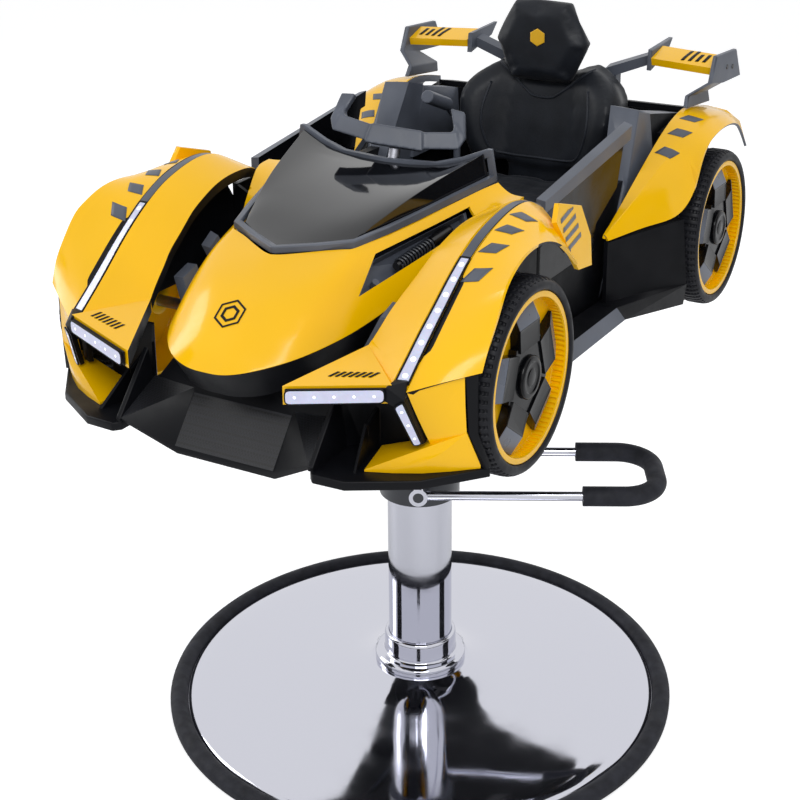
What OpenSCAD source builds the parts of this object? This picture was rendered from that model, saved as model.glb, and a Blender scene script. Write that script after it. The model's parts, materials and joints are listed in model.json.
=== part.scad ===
// A children's race car chair on a hydraulic pedestal.
// The origin is the centre of the base's underside, on the floor and on the column's axis.
// +Z is up, the car faces -Y and the driver's left is +X.

/* [Base] */
// Diameter over the rubber ring
base_d = 800; // [740:1:860]
// Width of the rubber ring
trim_w = 28; // [24:1:30]
// Height of the rubber ring
trim_h = 20; // [16:1:26]
// Thickness of the steel base plate
plate_t = 6; // [5:1:8]
// Thickness of the chromed cover
cover_t = 2.5; // [2:0.5:4]
// Height of the cover's hub above the floor
hub_h = 50; // [44:1:58]

/* [Column] */
// Diameter of the chromed column
column_d = 100; // [94:1:110]
// Wall of the column
column_wall = 4; // [3:0.5:5]
// Height of the column's top above the floor
column_top = 345; // [320:1:360]
// Diameter of the collar's foot
flange_d = 144; // [130:1:160]
// Thickness of the collar's foot
flange_t = 15; // [10:1:20]
// Diameter of the collar
collar_d = 114; // [108:1:124]
// Height of the collar above its foot
collar_h = 34; // [24:1:44]

/* [Pump] */
// Diameter of the ram
ram_d = 50; // [44:1:56]
// Wall of the pump cylinder
cylinder_wall = 16; // [12:1:18]
// Diameter of the cylinder's foot
foot_d = 170; // [150:1:190]
// Thickness of the cylinder's foot
foot_t = 10; // [8:1:12]
// Diameter of the pump head
head_d = 124; // [116:1:134]
// Height of the pump head
head_h = 46; // [42:1:54]
// How far the car can be lowered
lift_travel = 150; // [120:1:155]
// Height of the ram's foot above the floor, with the car raised
ram_foot = 230; // [220:1:250]
// Radial play of everything that runs in a bore
play = 0.05; // [0.02:0.01:0.08]

/* [Pump lever] */
// Reach of the lever from the column's axis
lever_reach = 378; // [340:1:400]
// Distance between the middles of the lever's two rods
lever_gap = 152; // [146:1:170]
// Diameter of the lever's rods
lever_rod_d = 14; // [12:1:16]
// Diameter of the lever's grip
grip_d = 30; // [26:1:34]
// Direction in which the lever points, from the car's left towards its tail
lever_azimuth = 28; // [0:1:60]
// Diameter of the lever's pivot
pivot_d = 16; // [14:1:18]
// Length of the lever's pivot sleeves
sleeve_l = 20; // [16:1:24]

/* [Mount] */
// Side of the square mount plate
mount_w = 210; // [190:1:240]
// Thickness of the mount plate
mount_t = 8; // [6:1:10]
// Height of the socket under the mount plate
socket_h = 24; // [18:1:26]
// Wall of the socket under the mount plate
socket_wall = 10; // [8:1:12]
// Side of the frame's square tubes
frame_tube = 40; // [36:1:42]
// Wall of the frame's tubes
frame_wall = 3; // [2:0.5:4]
// Distance between the middles of the frame's long tubes
frame_gap = 150; // [140:1:160]
// Length of the frame's long tubes
frame_l = 520; // [480:1:560]
// Diameter of the bolts
bolt_d = 10; // [8:1:12]

/* [Car] */
// Height of the lowest point of the wheels above the floor, with the car raised
ride_h = 580; // [575:1:590]
// Distance of the front axle ahead of the column's axis
axle_ahead = 290; // [270:1:310]
// Width that the places across the car are shares of
grid_w = 1000; // [960:1:1040]
// Length that the places along the car are shares of
grid_l = 1000; // [970:1:1040]
// Height that the places up the car are shares of
grid_h = 1000; // [980:1:1040]
// Wall of the moulded shell
shell_t = 4; // [3:0.5:5]
// Seam between two mouldings
seam = 0.6; // [0.4:0.1:0.8]
// Thickness of the glass
glass_t = 3; // [2.5:0.5:4]

/* [Wheels] */
// Diameter of the tyres
wheel_d = 250; // [240:1:254]
// Width of the tyres
tyre_w = 80; // [70:1:82]
// Depth of the tyres' sidewall
sidewall = 17; // [14:1:22]
// Diameter of the axles
axle_d = 16; // [14:1:18]
// Diameter of the wheel hubs
hub_d = 40; // [34:1:46]
// Wall of the rims
rim_t = 4; // [3:0.5:5]
// Number of arms of a wheel cover
cover_arms = 5; // [5:1:5]

/* [Cockpit] */
// Width of the seat cushion
cushion_w = 222; // [200:1:226]
// Length of the seat cushion
cushion_l = 205; // [190:1:212]
// Thickness of the seat cushion
cushion_t = 46; // [38:1:52]
// Rise of the cushion's crown
crown = 10; // [6:1:12]
// Depth of the sewn channels
channel_depth = 4; // [3:0.5:6]
// Diameter of the steering shaft
shaft_d = 16; // [14:1:18]
// Slope of the steering shaft above the horizontal
shaft_slope = 70; // [68:1:74]
// Turn of the yoke at rest
yoke_turn = 20; // [0:1:20]

/* [Springs] */
// Diameter of the damper springs' wire
wire_d = 3.5; // [3:0.5:4]
// Diameter of the damper springs, over the wire
spring_d = 20; // [19:1:22]
// Curls of a damper spring
curls = 11; // [8:1:12]

/* [Hidden] */
$fn = 96;

// Colours
yellow = [0.98, 0.72, 0.02];
dark_grey = [0.25, 0.27, 0.30];
mid_grey = [0.36, 0.38, 0.41];
black = [0.06, 0.06, 0.07];
gloss_black = [0.03, 0.03, 0.04];
chrome = [0.82, 0.83, 0.85];
steel = [0.55, 0.56, 0.58];
white = [0.93, 0.94, 1.00];

// Overrun of every cut
over = 1;
// Pedestal
plate_r = base_d/2 - trim_w;
cover_r = plate_r - seam;
column_r = column_d/2;
column_bore = column_r - column_wall;
cylinder_r = ram_d/2 + cylinder_wall;
head_low = column_top + seam/2;
head_top = head_low + head_h;
journal_h = 24;
cylinder_top = head_low - journal_h - seam;
ram_r = ram_d/2;
ram_bore = ram_r + play;
pivot_h = head_low + head_h*0.6;
pivot_r = pivot_d/2;
sleeve_wall = 6;
sleeve_r = pivot_r + sleeve_wall;
foot_bolts = 6;
foot_bolt_r = (cylinder_r + foot_d/2)/2;
nut_share = 0.9;
nut_h_share = 0.65;

// Heights from the chassis floor down to the mount plate
floor_low_share = 0.052;
floor_t_share = 0.010;
floor_low = floor_low_share*grid_h;
floor_t = floor_t_share*grid_h;
floor_top = floor_low + floor_t;
mount_top = ride_h + floor_low - frame_tube;
mount_h = mount_top - mount_t;
cross_gap_share = 0.62;

// Places in the car's own frame: x from the middle to the left, y from the front axle to the tail
// and z from the lowest point of the wheels
wheelbase_share = 0.700;
wheelbase = wheelbase_share*grid_l;
wheel_mid_share = 0.286;
wheel_x = wheel_mid_share*grid_w;
axle_z = wheel_d/2;
rim_r = wheel_d/2 - sidewall;

function place(p) = [p[0]*grid_w, p[1]*grid_l, p[2]*grid_h];
function places(t) = [for (p = t) place(p)];
function grid(t) = [for (r = t) places(r)];
function flip(p) = [-p[0], p[1], p[2]];
function flipped(rows) = [for (i = [len(rows) - 1:-1:1]) [for (p = rows[i]) flip(p)]];
function doubled(rows) = concat(flipped(rows), rows);
function unit(v) = v/max(norm(v), 1e-9);
function last(t) = t[len(t) - 1];
function part(t, a, b) = [for (i = [a:b]) t[i]];

// A point of the smooth curve between b and c
function between(a, b, c, d, t) =
    (2*b + (c - a)*t + (2*a - 5*b + 4*c - d)*t*t + (3*b - a - 3*c + d)*t*t*t)/2;
// A smooth curve through the points of p, with k steps a span
function spline(p, k) = concat(
    [for (i = [0:len(p) - 2]) for (s = [0:k - 1])
        between(p[max(i - 1, 0)], p[i], p[i + 1], p[min(i + 2, len(p) - 1)], s/k)],
    [last(p)]);

// Normals of a grid of points, and the same grid moved along them
function step_u(g, i, j) = g[min(i + 1, len(g) - 1)][j] - g[max(i - 1, 0)][j];
function step_v(g, i, j) = g[i][min(j + 1, len(g[0]) - 1)] - g[i][max(j - 1, 0)];
function moved(g, t) = [for (i = [0:len(g) - 1]) [for (j = [0:len(g[0]) - 1])
    g[i][j] + t*unit(cross(step_v(g, i, j), step_u(g, i, j)))]];
function shifted(g, v) = [for (r = g) [for (p = r) p + v]];

// A closed shell between two grids of points, with the outer grid on the side of its normals
module shell(outer, inner) {
    n = len(outer);
    m = len(outer[0]);
    b = n*m;
    pts = concat([for (r = outer) each r], [for (r = inner) each r]);
    function q(w, x, y, z) = [[w, x, y], [w, y, z]];
    quads = concat(
        [for (i = [0:n - 2]) for (j = [0:m - 2])
            each q(i*m + j, i*m + m + j, i*m + m + j + 1, i*m + j + 1)],
        [for (i = [0:n - 2]) for (j = [0:m - 2])
            each q(b + i*m + j, b + i*m + j + 1, b + i*m + m + j + 1, b + i*m + m + j)],
        [for (i = [0:n - 2]) each q(b + i*m, b + i*m + m, i*m + m, i*m)],
        [for (i = [1:n - 1]) each q(i*m - 1, i*m + m - 1, b + i*m + m - 1, b + i*m - 1)],
        [for (j = [0:m - 2]) each q(b + j + 1, b + j, j, j + 1)],
        [for (j = [0:m - 2]) each q(b + (n - 1)*m + j, b + (n - 1)*m + j + 1,
            (n - 1)*m + j + 1, (n - 1)*m + j)]);
    polyhedron(pts, quads);
}

// A moulded panel whose outer face is the grid g, with the wall inside
module panel(g, t) shell(g, moved(g, -t));

// The hull of a list of places
module solid(points) {
    faces = [[for (i = [0:len(points) - 1]) i]];
    hull() polyhedron(points, faces);
}

module solids(t) for (p = t) solid(places(p));

// Boxes between pairs of opposite corners
module boxes(t) for (p = t) {
    low = place(p[0]);
    translate(low) cube(place(p[1]) - low);
}

module both() {
    children();
    mirror([1, 0, 0]) children();
}

module car() translate([0, -axle_ahead, ride_h]) children();

// A round bar between two points
module bar(a, b, r) {
    v = b - a;
    translate(a) rotate([0, acos(v[2]/norm(v)), atan2(v[1], v[0])]) cylinder(h = norm(v), r = r);
}

// A slab along x with the outline of the places in t, from one side to the other
module slab(t, from, to) {
    outline = [for (p = t) [p[0]*grid_l, p[1]*grid_h]];
    translate([from, 0, 0]) rotate([90, 0, 90]) linear_extrude(to - from) polygon(outline);
}

// Base and column
module base_plate() color(steel) difference() {
    cylinder(h = plate_t, r = plate_r);
    at_foot_bolts() translate([0, 0, plate_t/2]) cylinder(h = plate_t, r = bolt_d/2);
}

module at_foot_bolts() for (k = [0:foot_bolts - 1]) rotate(k*360/foot_bolts)
    translate([foot_bolt_r, 0, 0]) children();

module hex_bolt(l) {
    nut_r = bolt_d*nut_share;
    translate([0, 0, -l]) cylinder(h = l, r = bolt_d/2 - play);
    cylinder(h = bolt_d*nut_h_share, r = nut_r, $fn = 6);
}

module base_bolts() color(steel) at_foot_bolts() translate([0, 0, plate_t + foot_t])
    hex_bolt(foot_t + plate_t/2);

// The cover's outer line, as shares of its radius and of its rise
cover_line_shares = [
    [1.000, 0.00], [0.992, 0.10], [0.970, 0.17], [0.900, 0.26], [0.750, 0.37], [0.600, 0.46],
    [0.450, 0.55], [0.330, 0.66], [0.255, 0.82], [0.205, 1.00]
];
cover_rise = hub_h - plate_t;
cover_line = spline([for (s = cover_line_shares) [s[0]*cover_r, plate_t + s[1]*cover_rise]], 3);
hub_bore = cylinder_r + play;

module base_cover() color(chrome) rotate_extrude() polygon(concat(
    [for (p = cover_line) p],
    [[hub_bore, hub_h], [hub_bore, hub_h - cover_t]],
    [for (i = [len(cover_line) - 1:-1:1]) let (p = cover_line[i])
        if (p[1] - cover_t > plate_t) [p[0], p[1] - cover_t]],
    [[cover_r - cover_t, plate_t]]));

module base_trim_ring() color(black) rotate_extrude() {
    round_r = trim_w/2;
    translate([plate_r + play, 0]) square([trim_w - play, trim_h - round_r]);
    intersection() {
        translate([plate_r + round_r, trim_h - round_r]) circle(r = round_r - play);
        translate([plate_r, 0]) square([trim_w, trim_h]);
    }
}

module pump_cylinder() color(steel) difference() {
    union() {
        translate([0, 0, plate_t]) cylinder(h = foot_t, r = foot_d/2);
        translate([0, 0, plate_t + foot_t]) cylinder(h = cylinder_top - plate_t - foot_t, r = cylinder_r);
    }
    translate([0, 0, plate_t + foot_t]) cylinder(h = cylinder_top, r = ram_bore);
    at_foot_bolts() translate([0, 0, plate_t - over]) cylinder(h = foot_t + 2*over, r = bolt_d/2);
}

module column_tube() color(chrome) translate([0, 0, hub_h]) difference() {
    cylinder(h = column_top - hub_h, r = column_r);
    translate([0, 0, -over]) cylinder(h = column_top, r = column_bore);
}

module column_collar() color(chrome) translate([0, 0, hub_h]) difference() {
    union() {
        cylinder(h = flange_t, r = flange_d/2);
        translate([0, 0, flange_t]) cylinder(h = collar_h, r = collar_d/2);
    }
    translate([0, 0, -over]) cylinder(h = flange_t + collar_h + 2*over, r = column_r + play);
}

// Pump head, lever and ram
module at_lever() translate([0, 0, pivot_h]) rotate(lever_azimuth) children();

module pump_head() color(dark_grey) difference() {
    union() {
        translate([0, 0, head_low - journal_h]) cylinder(h = journal_h, r = column_bore - play);
        translate([0, 0, head_low]) cylinder(h = head_h, r = head_d/2);
        at_lever() rotate([90, 0, 0]) translate([0, 0, -lever_gap/2 - sleeve_l/2])
            cylinder(h = lever_gap + sleeve_l, r = pivot_r);
    }
    translate([0, 0, head_low - journal_h - over]) cylinder(h = head_h + journal_h + 2*over, r = ram_bore);
}

rod_r = lever_rod_d/2;
bow_r = lever_gap/2 - rod_r*3;
bow_x = lever_reach - grip_d/2 - bow_r;
grip_l = 62;
grip_r = grip_d/2;

module at_sleeves() for (s = [-1, 1]) translate([0, s*lever_gap/2, 0]) children();

// The lever's bent end, with the radius r of its section
module bow(r) {
    side = lever_gap/2 - bow_r;
    translate([bow_x + bow_r, -side, 0]) rotate([-90, 0, 0]) cylinder(h = 2*side, r = r);
    for (s = [-1, 1]) translate([bow_x, s*side, 0]) rotate(s > 0 ? 0 : -90)
        rotate_extrude(angle = 90) translate([bow_r, 0]) circle(r = r);
}

module pump_lever() color(chrome) at_lever() difference() {
    union() {
        at_sleeves() rotate([90, 0, 0]) cylinder(h = sleeve_l, r = sleeve_r, center = true);
        at_sleeves() rotate([0, 90, 0]) cylinder(h = bow_x, r = rod_r);
        bow(rod_r);
    }
    rotate([90, 0, 0]) cylinder(h = lever_gap + 2*sleeve_l, r = pivot_r + play, center = true);
}

module lever_grip() color(black) at_lever() difference() {
    union() {
        at_sleeves() translate([bow_x - grip_l, 0, 0]) rotate([0, 90, 0]) cylinder(h = grip_l, r = grip_r);
        bow(grip_r);
    }
    at_sleeves() translate([bow_x - grip_l - over, 0, 0]) rotate([0, 90, 0])
        cylinder(h = grip_l + over, r = rod_r);
    bow(rod_r);
}

module ram() color(chrome) translate([0, 0, ram_foot]) cylinder(h = mount_h - ram_foot, r = ram_r);

// Mount plate and frame under the car
frame_x = frame_gap/2;
cross_y = frame_l*cross_gap_share/2;
mount_bolt_x = frame_x;
mount_bolt_y = mount_w/2 - bolt_d*2;

module at_mount_bolts() for (x = [-1, 1]) for (y = [-1, 1])
    translate([x*mount_bolt_x, y*mount_bolt_y, 0]) children();

module mount_plate() color(black) difference() {
    union() {
        translate([-mount_w/2, -mount_w/2, mount_h]) cube([mount_w, mount_w, mount_t]);
        translate([0, 0, mount_h - socket_h]) cylinder(h = socket_h, r = ram_r + socket_wall);
    }
    translate([0, 0, mount_h - socket_h - over]) cylinder(h = socket_h + over, r = ram_r + play);
    at_mount_bolts() translate([0, 0, mount_h - over]) cylinder(h = mount_t + 2*over, r = bolt_d/2);
}

module mount_bolts() color(steel) at_mount_bolts() translate([0, 0, mount_h]) rotate([180, 0, 0])
    hex_bolt(mount_t + frame_wall);

module tube_y(x, l) difference() {
    translate([x - frame_tube/2, -l/2, mount_top]) cube([frame_tube, l, frame_tube]);
    translate([x - frame_tube/2 + frame_wall, -l/2 - over, mount_top + frame_wall])
        cube([frame_tube - 2*frame_wall, l + 2*over, frame_tube - 2*frame_wall]);
}

module support_frame() color(black) difference() {
    union() {
        for (s = [-1, 1]) tube_y(s*frame_x, frame_l);
        for (s = [-1, 1]) translate([-frame_x + frame_tube/2, s*cross_y - frame_tube/2, mount_top])
            cube([frame_gap - frame_tube, frame_tube, frame_tube]);
    }
    at_mount_bolts() translate([0, 0, mount_top - over]) cylinder(h = frame_wall + over, r = bolt_d/2);
}

// Chassis
floor_outline_shares = [
    [-0.135, -0.148], [0.135, -0.148], [0.150, -0.120], [0.150, 0.150], [0.205, 0.168],
    [0.232, 0.168], [0.232, 0.562], [0.170, 0.574], [0.170, 0.800], [0.140, 0.840],
    [-0.140, 0.840], [-0.170, 0.800], [-0.170, 0.574], [-0.232, 0.562], [-0.232, 0.168],
    [-0.205, 0.168], [-0.150, 0.150], [-0.150, -0.120]
];

module chassis_floor() color(black) car() translate([0, 0, floor_low]) linear_extrude(floor_t)
    polygon([for (p = floor_outline_shares) [p[0]*grid_w, p[1]*grid_l]]);

// The tub: floor, seat base, rear base, bulkheads and side walls, with the bracket of the side lever
tub_boxes_shares = [
    [[-0.222, 0.170, 0.062], [0.222, 0.775, 0.068]],
    [[-0.120, 0.480, 0.067], [0.120, 0.690, 0.132]],
    [[0.098, 0.170, 0.067], [0.222, 0.178, 0.225]],
    [[-0.222, 0.170, 0.067], [-0.098, 0.178, 0.225]],
    [[-0.222, 0.767, 0.067], [0.222, 0.775, 0.288]],
    [[0.206, 0.177, 0.067], [0.222, 0.768, 0.232]],
    [[-0.222, 0.177, 0.067], [-0.206, 0.768, 0.232]],
    [[-0.150, 0.640, 0.067], [-0.138, 0.664, 0.182]]
];
pillar_shares = [
    [0.206, 0.446, 0.068], [0.222, 0.446, 0.068], [0.206, 0.600, 0.068], [0.222, 0.600, 0.068],
    [0.206, 0.530, 0.240], [0.230, 0.530, 0.240], [0.206, 0.690, 0.240], [0.234, 0.620, 0.240],
    [0.178, 0.574, 0.334], [0.224, 0.574, 0.330], [0.178, 0.622, 0.322], [0.224, 0.622, 0.318]
];
// Two corners of the rear base's foot. It rises just over the axle's bore
rear_base_shares = [[-0.150, 0.689, 0.067], [0.150, 0.775, 0.067]];
rear_base_h = rear_base_shares[0][2]*grid_h;
axle_wall = 7;
rear_base_top = axle_z + axle_d/2 + axle_wall;
rail_end_shares = [
    [0.186, 0.600, 0.200], [0.222, 0.600, 0.200], [0.186, 0.620, 0.318], [0.222, 0.620, 0.316],
    [0.186, 0.767, 0.200], [0.222, 0.767, 0.200], [0.190, 0.767, 0.288], [0.222, 0.767, 0.288]
];

module cockpit_tub() color(dark_grey) car() difference() {
    union() {
        boxes(tub_boxes_shares);
        translate(place(rear_base_shares[0]))
            cube(place(rear_base_shares[1] - rear_base_shares[0]) + [0, 0, rear_base_top - rear_base_h]);
        both() solid(places(pillar_shares));
        both() solid(places(rail_end_shares));
        both() hinge_pin();
        translate([side_pin_from, side_pivot[1], side_pivot[2]]) rotate([0, 90, 0])
            cylinder(h = side_pivot[0] - side_pin_from + side_boss_t/2, r = side_pin_r);
    }
    translate([-grid_w, wheelbase, axle_z]) rotate([0, 90, 0]) cylinder(h = 2*grid_w, r = axle_d/2 + play);
}

yoke_place_share = [0, 0.229, 0.337];
shaft_dir = [0, cos(shaft_slope), sin(shaft_slope)];
yoke_at = place(yoke_place_share);
shaft_l = 92;
dash_shares = [
    [-0.140, 0.182, 0.226], [0.140, 0.182, 0.226], [-0.140, 0.222, 0.226], [0.140, 0.222, 0.226],
    [-0.146, 0.182, 0.262], [0.146, 0.182, 0.262], [-0.146, 0.256, 0.252], [0.146, 0.256, 0.252],
    [-0.100, 0.196, 0.290], [0.100, 0.196, 0.290], [-0.060, 0.250, 0.292], [0.060, 0.250, 0.292]
];

module dashboard() color(black) car() difference() {
    solid(places(dash_shares));
    bar(yoke_at - shaft_dir*shaft_l*2, yoke_at, shaft_d/2 + play);
}

module axle(from) both() translate([from, 0, 0]) rotate([0, 90, 0]) {
    cylinder(h = wheel_x + hub_face + nut_t - from, r = axle_d/2);
    translate([0, 0, wheel_x + hub_face - from]) cylinder(h = nut_t, r = axle_d*nut_share, $fn = 6);
}

// The wheel's own places across: the hub's outer face and the rim's dish, from the tyre's middle
hub_face = tyre_w*0.2;
nut_t = axle_d*nut_h_share;
block_w = 22;
block_x_share = 0.117;

module front_axle() color(steel) car() translate([0, 0, axle_z]) {
    axle(block_x_share*grid_w);
    both() translate([block_x_share*grid_w, -axle_d, floor_top - axle_z])
        cube([block_w, 2*axle_d, axle_z - floor_top + axle_d]);
}

module rear_axle() color(steel) car() translate([0, wheelbase, axle_z]) axle(0);

arm_shares = [
    [[0.118, -0.080, 0.062], [0.142, -0.080, 0.062], [0.118, -0.040, 0.062], [0.142, -0.040, 0.062],
     [0.118, -0.082, 0.140], [0.136, -0.082, 0.140], [0.118, -0.050, 0.140], [0.136, -0.050, 0.140]],
    [[0.118, -0.082, 0.130], [0.136, -0.082, 0.130], [0.118, -0.050, 0.140], [0.136, -0.050, 0.140],
     [0.150, -0.070, 0.196], [0.172, -0.062, 0.192], [0.150, -0.040, 0.206], [0.172, -0.032, 0.202]],
    [[0.118, 0.040, 0.062], [0.142, 0.040, 0.062], [0.118, 0.080, 0.062], [0.142, 0.080, 0.062],
     [0.122, 0.030, 0.150], [0.140, 0.030, 0.150], [0.122, 0.060, 0.150], [0.140, 0.060, 0.150]],
    [[0.128, 0.036, 0.110], [0.142, 0.036, 0.110], [0.128, 0.062, 0.120], [0.142, 0.062, 0.120],
     [0.166, 0.010, 0.212], [0.180, 0.010, 0.214], [0.166, 0.030, 0.224], [0.180, 0.032, 0.228]]
];

module suspension_arms() color(mid_grey) car() both() solids(arm_shares);

// Liners: the lips between the front fenders and the wheels, the walls of the footwell and the walls
// behind the front wheels
liner_shares = [
    [[0.3046, -0.1394, 0.1730], [0.3140, -0.1300, 0.1770], [0.3046, -0.1364, 0.1730],
     [0.3140, -0.1270, 0.1770], [0.3066, -0.1362, 0.1020], [0.3070, -0.1332, 0.1020],
     [0.3140, -0.1250, 0.0980], [0.3130, -0.1280, 0.0980]],
    [[0.3066, -0.1362, 0.1030], [0.3070, -0.1332, 0.1030], [0.3140, -0.1250, 0.0990],
     [0.3130, -0.1280, 0.0990], [0.3164, -0.1180, 0.0520], [0.3220, -0.1180, 0.0520],
     [0.3220, -0.1080, 0.0520], [0.3164, -0.1080, 0.0520]],
    [[0.186, 0.150, 0.062], [0.232, 0.156, 0.062], [0.186, 0.156, 0.062], [0.232, 0.162, 0.062],
     [0.186, 0.150, 0.240], [0.232, 0.156, 0.260], [0.186, 0.156, 0.240], [0.232, 0.162, 0.260]],
    [[0.224, 0.156, 0.062], [0.232, 0.156, 0.062], [0.224, 0.202, 0.062], [0.232, 0.202, 0.062],
     [0.224, 0.156, 0.258], [0.232, 0.156, 0.258], [0.224, 0.202, 0.258], [0.232, 0.202, 0.258]],
    [[0.088, -0.106, 0.062], [0.094, -0.106, 0.062], [0.088, 0.168, 0.062], [0.094, 0.168, 0.062],
     [0.088, -0.106, 0.186], [0.094, -0.106, 0.186], [0.088, 0.168, 0.220], [0.094, 0.168, 0.220]],
    [[0.000, -0.106, 0.062], [0.090, -0.106, 0.062], [0.000, -0.100, 0.062], [0.090, -0.100, 0.062],
     [0.000, -0.106, 0.184], [0.090, -0.106, 0.184], [0.000, -0.100, 0.184], [0.090, -0.100, 0.184]]
];
liner_t = 2;
liner_gap = 9;
liner_steps = 2;
liner_from = 2;
liner_in_share = 0.16;
liner_out_share = 0.55;
function mixed(a, b, t) = a + (b - a)*t;

module arch_liners() color(black) car() both() {
    solids(liner_shares);
    rows = spline(grid(fender_shares), liner_steps);
    under = [for (r = part(rows, liner_from, len(rows) - 1))
        [mixed(r[1], r[2], liner_in_share), r[2], r[5], r[6], mixed(r[6], r[7], liner_out_share)]];
    shell(moved(under, -liner_gap), moved(under, -liner_gap - liner_t));
}

// Sills and side pods
skirt_shares = [
    [[0.2325, 0.196, 0.060], [0.288, 0.196, 0.066], [0.2325, 0.396, 0.052], [0.286, 0.396, 0.062],
     [0.2325, 0.196, 0.082], [0.276, 0.196, 0.084], [0.2325, 0.396, 0.074], [0.272, 0.396, 0.078]],
    [[0.2325, 0.396, 0.052], [0.286, 0.396, 0.062], [0.2325, 0.566, 0.036], [0.314, 0.566, 0.036],
     [0.2325, 0.396, 0.074], [0.272, 0.396, 0.078], [0.2325, 0.566, 0.070], [0.318, 0.566, 0.070]],
    [[0.240, 0.416, 0.070], [0.246, 0.416, 0.070], [0.240, 0.566, 0.060], [0.318, 0.566, 0.060],
     [0.240, 0.416, 0.1690], [0.246, 0.416, 0.1680], [0.240, 0.562, 0.1770], [0.309, 0.562, 0.1740]]
];

// Room that the side pods leave around the tyres
wheel_gap = 5;

module wheel_room(y) translate([wheel_x - tyre_w/2 - wheel_gap, y, axle_z]) rotate([0, 90, 0])
    cylinder(h = tyre_w + 2*wheel_gap, r = wheel_d/2 + wheel_gap);

module side_skirts() color(black) car() both() difference() {
    solids(skirt_shares);
    wheel_room(0);
    wheel_room(wheelbase);
}

// Hood: stations from the nose to the cockpit, each from the windshield to the folded lip
hood_shares = [
    [[0.000, -0.077, 0.259], [0.000, -0.142, 0.226], [0.000, -0.206, 0.180], [0.000, -0.227, 0.150],
     [0.000, -0.201, 0.113]],
    [[0.030, -0.064, 0.261], [0.026, -0.140, 0.227], [0.030, -0.204, 0.181], [0.030, -0.226, 0.152],
     [0.028, -0.200, 0.114]],
    [[0.060, -0.046, 0.264], [0.056, -0.130, 0.230], [0.060, -0.184, 0.186], [0.064, -0.211, 0.159],
     [0.060, -0.186, 0.118]],
    [[0.080, -0.036, 0.266], [0.082, -0.108, 0.235], [0.089, -0.150, 0.198], [0.098, -0.170, 0.167],
     [0.090, -0.150, 0.128]],
    [[0.090, -0.029, 0.267], [0.098, -0.076, 0.243], [0.111, -0.100, 0.210], [0.124, -0.108, 0.178],
     [0.112, -0.096, 0.142]],
    [[0.097, -0.004, 0.270], [0.108, -0.034, 0.251], [0.124, -0.046, 0.220], [0.138, -0.050, 0.190],
     [0.124, -0.046, 0.158]],
    [[0.105, 0.028, 0.274], [0.117, 0.010, 0.258], [0.133, 0.004, 0.231], [0.148, 0.002, 0.204],
     [0.134, 0.002, 0.176]],
    [[0.115, 0.068, 0.279], [0.127, 0.058, 0.266], [0.142, 0.054, 0.243], [0.158, 0.052, 0.221],
     [0.146, 0.052, 0.196]],
    [[0.126, 0.110, 0.285], [0.138, 0.104, 0.273], [0.151, 0.102, 0.255], [0.172, 0.100, 0.247],
     [0.160, 0.100, 0.222]],
    [[0.138, 0.154, 0.291], [0.150, 0.150, 0.280], [0.165, 0.148, 0.270], [0.190, 0.146, 0.272],
     [0.186, 0.146, 0.248]],
    [[0.148, 0.192, 0.296], [0.162, 0.188, 0.286], [0.180, 0.184, 0.280], [0.203, 0.180, 0.282],
     [0.200, 0.180, 0.258]],
    [[0.157, 0.224, 0.299], [0.171, 0.220, 0.290], [0.186, 0.216, 0.284], [0.206, 0.212, 0.284],
     [0.204, 0.212, 0.258]]
];
hood_steps = 3;
bead_w = 7;
bead_clear_share = 0.95;

// A station with its upper points joined smoothly and its lip kept sharp
function crowned(r, k) = concat(spline(trimmed(part(r, 0, 3)), k), [last(r)]);
// The same with its first point drawn back from the bead of the windshield's frame
function trimmed(r) = concat([r[0] + unit(r[1] - r[0])*bead_w*bead_clear_share], part(r, 1, len(r) - 1));
hood_grid = [for (r = spline(doubled(grid(hood_shares)), hood_steps)) crowned(r, hood_steps)];

// The opening of the side vent in the hood's flank, in the plane of the flank
vent_shares = [[0.116, -0.062, 0.213], [0.104, -0.006, 0.243], [0.147, 0.152, 0.268],
    [0.154, 0.147, 0.252], [0.137, 0.095, 0.230]];
vent_normal = unit(cross(place(vent_shares[2]) - place(vent_shares[0]),
    place(vent_shares[1]) - place(vent_shares[0])));
vent_out = vent_normal[0] > 0 ? vent_normal : -vent_normal;
vent_depth = 16;
function outset(t, d) = let (c = middle(t)) [for (p = t) p + unit(p - c)*d];
function middle(t) = [for (k = [0:2]) sum([for (p = t) p[k]])/len(t)];
function sum(v, i = 0) = i < len(v) ? v[i] + sum(v, i + 1) : 0;

// A prism along the flank's normal over the vent's outline, grown by d
module vent_prism(d, low, high) {
    ring = outset(places(vent_shares), d);
    solid(concat([for (p = ring) p + vent_out*low], [for (p = ring) p + vent_out*high]));
}

vent_rim = 5;
vent_sink = 9;

module hood() color(yellow) car() difference() {
    panel(hood_grid, shell_t);
    both() vent_prism(vent_rim + seam, -vent_depth - vent_sink, vent_depth*2);
}

module side_vents() color(dark_grey) car() both() {
    difference() {
        vent_prism(vent_rim, -vent_depth - vent_rim, -over);
        vent_prism(0, -vent_depth, vent_depth);
    }
    damper_boss(boss_low_share, core_r*damper_line_shares[0][1]);
    damper_boss(boss_high_share, core_r*damper_line_shares[4][1]);
}

// A round boss between the tray of a side vent and the damper of radius r at the share s of its length
module damper_boss(s, r) bar(on_damper(s) - vent_out*(vent_depth*(1 - damper_in_share) + over),
    on_damper(s) - vent_out*(r + seam/2), core_r*boss_share);

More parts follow.
